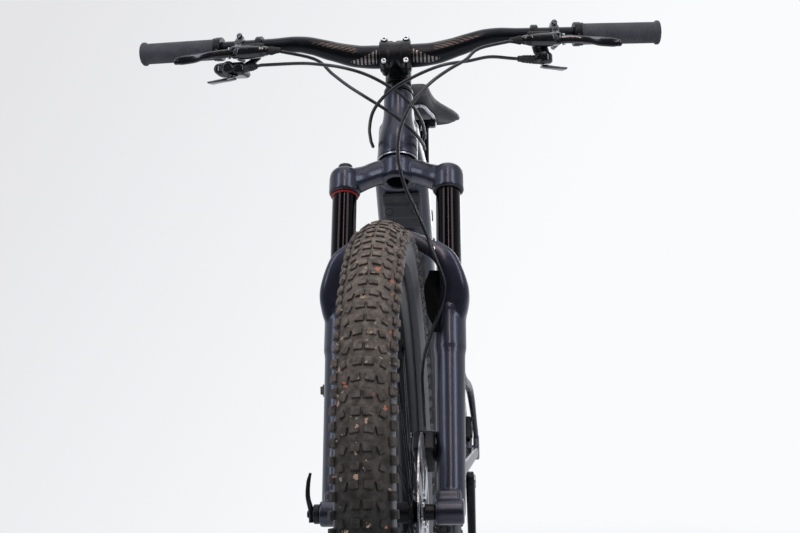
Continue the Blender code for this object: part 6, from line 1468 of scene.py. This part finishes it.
# Synthetic saddle cover: fine pebbled grain, soft shine, mid grey where dust sits on it
cover, tree, shader, place = finish("pebbled_saddle_cover", "29292b", 0.56, Specular_IOR_Level=0.3)
dusted(tree, shader, place, "28282a", "38373a", 0.45, 0.80, 0.06)
pebble = add_node(tree, "TexVoronoi", {"Vector": place, "Scale": 1 / 0.0011})
grained(tree, shader, place, 0.0011, 0.00012, rough=(0.50, 0.66), height=pebble.outputs["Distance"])
saddle = bmesh.new()
loops = []
for share in shares:
    width = saddle_width(share)
    half = 0.071 * width
    droop = 0.027 * max(0.0, width - 0.30)
    top = (SADDLE_HEIGHT - 0.010 + 0.010 * (2 * share - 1) ** 2 - 0.018 * max(0.0, 1 - share / 0.10) ** 2
           - 0.010 * max(0.0, (share - 0.9) / 0.1) ** 2)
    thick = 0.034 * (0.55 + 0.45 * min(1.0, share / 0.2))
    ring_verts = bmesh.ops.create_circle(saddle, segments=44, radius=1)["verts"]
    for v in ring_verts:
        rise = copysign(abs(v.co.y) ** 0.8, v.co.y)
        x = half * copysign(abs(v.co.x) ** 0.55, v.co.x) * (1.0 if rise > -0.3 else 0.92)
        sag = droop * (x / half) ** 2
        depth = min(1, max(0, (share - 0.16) / 0.12)) * min(1, max(0, (0.97 - share) / 0.10))
        channel = 0.005 * max(0.0, 1 - (x / 0.009) ** 2) ** 1.5 * depth
        share_above = 0.38 if rise > 0 else 0.62
        z = top - thick * 0.38 + thick * share_above * rise - sag - (channel if rise > 0 else 0)
        v.co = Vector((x, NOSE + share * SADDLE_LENGTH, z))
    loops.append([e for e in saddle.edges if e.verts[0] in ring_verts])
skinned(saddle, loops)
bmesh.ops.recalc_face_normals(saddle, faces=saddle.faces)
saddle = treated(saddle, [("SUBSURF", {"levels": 1, "render_levels": 1})])
made = show("saddle_cover", saddle, cover, "dropper_post", "saddle_cover", "saddle", corner=70)

half = 0.022
front = NOSE + 0.045
rail = [(half, CLAMP.y + 0.085, CLAMP.z + 0.0112), (half, CLAMP.y + 0.050, CLAMP.z),
        (half, CLAMP.y + 0.024, CLAMP.z), (half, CLAMP.y - 0.024, CLAMP.z), (half, CLAMP.y - 0.046, CLAMP.z),
        (half * 0.72, front + 0.030, CLAMP.z + 0.004), (half * 0.40, front + 0.008, CLAMP.z + 0.010),
        (0, front, CLAMP.z + 0.012)]
rail += [(-x, y, z) for x, y, z in reversed(rail[:-1])]
rails = sweep_along(rail, [(0.0035, 0.0035)] * 2, 90, 2.0, UPRIGHT, 20)
show("saddle_rail_wire", rails, steel, "dropper_post", "steel", "saddle_rails", corner=50)

# CRANKS AND CHAINRING
# Forged alloy arms on a turned spindle, dull black, each with a pocket down its outer face. The
# chainring is stamped from sheet, with flat-topped teeth and windows between its arms.

CRANK_LENGTH = 0.170
CRANK_FACE = 0.0870
CRANK_INNER = CRANK_FACE - 0.0165
CHAIN_LINE = -0.054
CHAIN_PITCH = 0.0127
for side, name in reversed(SIDES):
    middle = side * (CRANK_INNER + CRANK_FACE) / 2
    tip = -side * CRANK_LENGTH
    shares = (-0.10, -0.05, 0.03, 0.12, 0.30, 0.52, 0.75, 0.92, 1.0, 1.055)
    route = [CRANK + Vector((middle, 0, tip * share)) for share in shares]
    sizes = mm("5.8 10, 8 16.5, 8.25 18.6, 8.2 17.2, 7.8 15, 7.4 14, 7.4 13.6, 7.4 14, 6.8 12.8, 5 8")
    arm = sweep_along(route, sizes, 60, 3.2, SIDEWAYS, 40)
    eye = CRANK + Vector((0, 0, tip))
    outer_face = side * 0.0875
    pocket = block((outer_face, -0.0062, tip * 0.22), (side * 0.0842, 0.0062, tip * 0.82),
                   Matrix.Translation(CRANK), 0.0020, 3)
    arm = carved(arm, crossbar(CRANK, 0, side * 0.1, 0.0126, 48), crossbar(eye, 0, side * 0.1, 0.0074, 32),
                 pocket)
    show(f"crank_arm_{name}_forging", arm, alloy, "crank", "black_alloy", f"crank_arm_{name}", corner=40)
    nut = lathe(mm("4 85, 11.5 85, 12.2 85.8, 12.2 87.5, 11.2 88.4, 4.6 88.4, 4 87.2"), 40,
                wheelwise(CRANK, side))
    show(f"crank_nut_{name}", nut, bare, "crank", "steel")
spindle = crossbar(CRANK, -0.0868, 0.0868, 0.0120, 48, 0.0006)
show("crank_spindle", spindle, bare, "crank", "steel")


def toothed(teeth, root, tip, flat=0.30):
    """The edge of a sprocket: flat-topped teeth with round roots between them."""
    points = []
    for i in range(teeth):
        for share, radius in ((0.0, root), (0.17, root + (tip - root) * 0.25), (0.5 - flat / 2, tip),
                              (0.5 + flat / 2, tip), (0.83, root + (tip - root) * 0.25)):
            angle = tau * (i + share) / teeth
            points.append((radius * cos(angle), radius * sin(angle)))
    return points


def pitch_radius(teeth):
    return teeth * CHAIN_PITCH / tau


outline = [toothed(34, pitch_radius(34) - 0.0038, pitch_radius(34) + 0.0036), ring_points(0.0122, 48)]
for i in range(5):
    start = tau * (i + 0.5) / 5
    window = [Vector((r * cos(start + a), r * sin(start + a), 0)) for r,
              a in ((0.026, -0.28), (0.040, -0.38), (0.054, -0.42), (0.0560, 0.0), (0.054, 0.42),
                    (0.040, 0.38), (0.026, 0.28), (0.0235, 0.0))]
    outline.append([tuple(p.xy) for p in curve_through(window + window[:1], 40)[:-1]])
ring_frame = wheelwise(CRANK + CHAIN_LINE * SIDEWAYS)
show("chainring_plate", pressed(outline, 0.0024, ring_frame), alloy, "crank", "black_alloy", "chainring")
spider = lathe(mm("12.2 -1.2, 20.5 -3, 20.5 -16.5, 12.2 -16.5"), 48, ring_frame)
show("chainring_boss", spider, alloy, "crank", "black_alloy")

# PEDALS
# Platforms of glass-filled nylon with steel grip pins, turning on steel axles.

for side, name in reversed(SIDES):
    eye = CRANK + Vector((0, 0, -side * CRANK_LENGTH))
    near, far = 0.091, 0.185
    outline = [(near, -0.040), (near + 0.008, -0.049), (far - 0.014, -0.049), (far, -0.036), (far, 0.036),
               (far - 0.014, 0.049), (near + 0.008, 0.049), (near, 0.040)]
    holes = []
    for back in (-1, 1):
        holes.append([(near + 0.012, back * 0.0105), (far - 0.010, back * 0.0105),
                      (far - 0.010, back * 0.030), (far - 0.020, back * 0.0405),
                      (near + 0.016, back * 0.0405), (near + 0.012, back * 0.034)])
    turn = Matrix.Translation(eye) @ Matrix.Diagonal((side, 1, 1, 1))
    cage = pressed([outline] + holes, 0.0150, turn, 0.0020)
    crossbar(eye, side * (near - 0.0005), side * (far - 0.002), 0.0078, 32, 0.001, into=cage)
    show(f"pedal_{name}_cage", cage, plastic, f"pedal_{name}", "black_plastic", f"pedal_{name}")
    metal = crossbar(eye, side * (CRANK_FACE - 0.0150), side * (near + 0.006), 0.0070, 32, 0.0005)
    for x in (near + 0.006, (near + far) / 2, far - 0.006):
        for y in (-0.0445, 0.0445) if x == (near + far) / 2 else (-0.037, -0.003, 0.031):
            for up in (-1, 1):
                foot = eye + Vector((side * x, y, up * 0.0070))
                rod(foot, foot + Vector((0, 0, up * 0.0042)), 0.0015, 10, 0.0003, into=metal)
    show(f"pedal_{name}_steel", metal, steel, f"pedal_{name}", "steel")

# CASSETTE
# Seven stamped and plated steel cogs on a driver, with spacers between and a lock ring outside.

COGS = (13, 17, 21, 25, 30, 35, 40)
cassette = bmesh.new()
for i, teeth in enumerate(COGS):
    outline = [toothed(teeth, pitch_radius(teeth) - 0.0040, pitch_radius(teeth) + 0.0026, 0.22),
               ring_points(0.0176, 36)]
    if teeth > 17:
        inner, outer = 0.0235, pitch_radius(teeth) - 0.0085
        count = 6 if teeth < 35 else 8
        for k in range(count):
            if outer - inner > 0.006:
                start = tau * k / count
                shape = ((inner, -0.28), (outer, -0.36), (outer, -0.12), (outer, 0.12), (outer, 0.36),
                         (inner, 0.28))
                window = [(r * cos(start + a * 6 / count), r * sin(start + a * 6 / count)) for r, a in shape]
                outline.append(window)
    place = frame_on(Vector((CHAIN_LINE + (i - 2) * 0.004, *REAR_AXLE.yz)), SIDEWAYS, UPRIGHT)
    pressed(outline, 0.0016, place, into=cassette)
    if i:
        lathe(mm("17.6 -3.2, 20.5 -3.2, 20.5 -0.8, 17.6 -0.8"), 40, place, cassette)
show("cassette_cogs", cassette, steel, "cassette", "steel", "cassette")
lock = lathe(mm("11 -3.6, 18.5 -3.6, 19.5 -2.8, 19.5 -1, 17.6 -1, 11 -2"), 48,
             wheelwise(Vector((-0.062, *REAR_AXLE.yz))))
show("lock_ring", lock, alloy, "cassette", "black_alloy")

# DERAILLEUR
# A forged body under the right dropout with a parallelogram, and a sprung cage of two pressed
# plates that holds the guide wheels.

UPPER_PULLEY = Vector((0.622, 0.270))
LOWER_PULLEY = Vector((0.604, 0.186))
seat = -0.0816
hanger_point = Vector((seat - 0.014, 0.616, 0.338))
cage_hinge = Vector((-0.060, *UPPER_PULLEY))
body = sweep_along([hanger_point + Vector((0.004, 0, 0)), hanger_point + Vector((-0.001, -0.002, -0.010)),
                    hanger_point + Vector((-0.004, -0.004, -0.022)),
                    Vector((cage_hinge.x - 0.026, cage_hinge.y - 0.002, 0.290)),
                    Vector((cage_hinge.x - 0.022, cage_hinge.y, cage_hinge.z + 0.004))],
                    mm("8 11, 8.5 11.8, 9 12, 8.6 12.4, 8 13"), 24, 2.8, SIDEWAYS, 28)
rod((cage_hinge.x - 0.024, *UPPER_PULLEY), (cage_hinge.x - 0.0105, *UPPER_PULLEY), 0.0105, 40, 0.001,
    into=body)
rod(hanger_point, (seat, hanger_point.y, hanger_point.z), 0.007, 28, into=body)
rod(hanger_point + Vector((-0.004, 0, 0)), hanger_point + Vector((0.004, 0, 0)), 0.0118, 40, 0.001, into=body)
body = cast(body, 0.0008, 4)
body = carved(body, block((hanger_point.x - 0.020, 0.6075, 0.300), (hanger_point.x - 0.0080, 0.6185, 0.322),
                          ease=0.002))
show("derailleur_body_forging", body, alloy, "frame", "black_alloy", "derailleur_body", corner=45)
show("derailleur_screws", cap_screw(hanger_point + Vector((-0.0036, 0, 0)), (-1, 0, 0), 0.0050, 0.0030),
     steel, "frame", "steel")
plates = bmesh.new()
outline = [tuple(p) for p in belt([(UPPER_PULLEY, 0.013), (LOWER_PULLEY, 0.013)], (1, 1), 0.002)]
along = (LOWER_PULLEY - UPPER_PULLEY).normalized()
across = Vector((-along.y, along.x))
hole = []
for share, reach in ((0.24, -0.006), (0.24, 0.006), (0.50, 0.0072), (0.76, 0.006), (0.76, -0.006),
                     (0.50, -0.0072)):
    hole.append(tuple(UPPER_PULLEY + (LOWER_PULLEY - UPPER_PULLEY) * share + across * reach))
for x in (CHAIN_LINE - 0.0046, CHAIN_LINE + 0.0046):
    side_on = Matrix(((0, 0, 1, x), (1, 0, 0, 0), (0, 1, 0, 0), (0, 0, 0, 1)))
    pressed([outline, hole], 0.0022, side_on, 0.0004, plates)
for pulley in (UPPER_PULLEY, LOWER_PULLEY):
    rod((-0.0605, *pulley), (-0.0475, *pulley), 0.0048, 24, 0.0005, into=plates)
show("derailleur_cage_plates", plates, alloy, "derailleur_cage", "black_alloy", "derailleur_cage")
wheels = bmesh.new()
for pulley in (UPPER_PULLEY, LOWER_PULLEY):
    centre = Vector((CHAIN_LINE, *pulley))
    pressed([toothed(12, pitch_radius(12) - 0.0040, pitch_radius(12) + 0.0022, 0.2), ring_points(0.0050, 24)],
            0.0024, wheelwise(centre), 0.0003, wheels)
show("guide_wheels", wheels, plastic, "derailleur_cage", "black_plastic")

# CHAIN
# Plated steel links of 12.7 mm pitch: pressed outer and inner plates in turn, on pins and rollers.

line = [Vector(p) for p in belt([(CRANK.yz, pitch_radius(34)), (LOWER_PULLEY, pitch_radius(12)),
                                 (UPPER_PULLEY, pitch_radius(12)), (REAR_AXLE.yz, pitch_radius(21))],
                                 (1, 1, -1, 1), 0.001)]
line.append(line[0])
run = [0.0]
for a, b in zip(line, line[1:]):
    run.append(run[-1] + (b - a).length)
count = round(run[-1] / CHAIN_PITCH / 2) * 2
pins = []
k = 0
for i in range(count):
    goal = run[-1] * i / count
    while run[k + 1] < goal:
        k += 1
    pins.append(line[k].lerp(line[k + 1], (goal - run[k]) / (run[k + 1] - run[k])))
pitch = run[-1] / count
figure = []
for i in range(16):
    turn = tau * (i + 0.5) / 16
    at_end = abs(cos(turn)) > 0.35
    figure.append((copysign(pitch / 2, cos(turn)) * (1 if at_end else 0.45) + 0.0040 * cos(turn) * at_end,
                   0.0041 * sin(turn) * (1.0 if at_end else 0.78)))
links = []
for gap, thick in mm("2.1 0.9, 1.2 0.8"):
    link = bmesh.new()
    for side in (-1, 1):
        pressed([figure], thick, Matrix.Translation((0, 0, side * gap)), into=link)
    for x in (-pitch / 2, pitch / 2):
        radius, half = (0.0018, 0.0027) if gap > 0.002 else (0.0038, 0.0008)
        rod((x, 0, -half), (x, 0, half), radius, 10, into=link)
    mesh = bpy.data.meshes.new("link")
    link.to_mesh(mesh)
    link.free()
    links.append(mesh)


def chain_run(which):
    bm = bmesh.new()
    for i in which:
        near, far = pins[i], pins[(i + 1) % count]
        heading = (far - near).normalized()
        middle = (near + far) / 2
        turn = Matrix(((0, 0, 1, CHAIN_LINE), (heading.x, -heading.y, 0, middle.x),
                       (heading.y, heading.x, 0, middle.y), (0, 0, 0, 1)))
        first = len(bm.verts)
        bm.from_mesh(links[i % 2])
        bm.verts.ensure_lookup_table()
        bmesh.ops.transform(bm, matrix=turn, verts=bm.verts[first:])
    bmesh.ops.recalc_face_normals(bm, faces=bm.faces)
    return bm


# Oiled chain steel: darker than plate, a little glossy, with grime between the links
chain_steel = plain_finish("oiled_chain_steel", "6f6e6c", 0.34, 1.0, (0.0010, 0.00002), (0.26, 0.50),
                           ("7c7b79", "2c2a28", 0.48, 0.70, 0.006))
middles = [(pins[i] + pins[(i + 1) % count]) / 2 for i in range(count)]
on_cage = [i for i, p in enumerate(middles) if p.x > 0.585 and p.y < UPPER_PULLEY.y + 0.004]
low_run = [i for i, p in enumerate(middles) if i not in on_cage and p.y < 0.312 and p.x > 0.165]
rest = [i for i in range(count) if i not in on_cage and i not in low_run]
show("chain_upper_run", chain_run(rest), chain_steel, "frame", "steel", "chain")
show("chain_on_cage", chain_run(on_cage), chain_steel, "derailleur_cage", "steel")
made = piece("chain_lower_run", chain_run(low_run), chain_steel)
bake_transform(made)
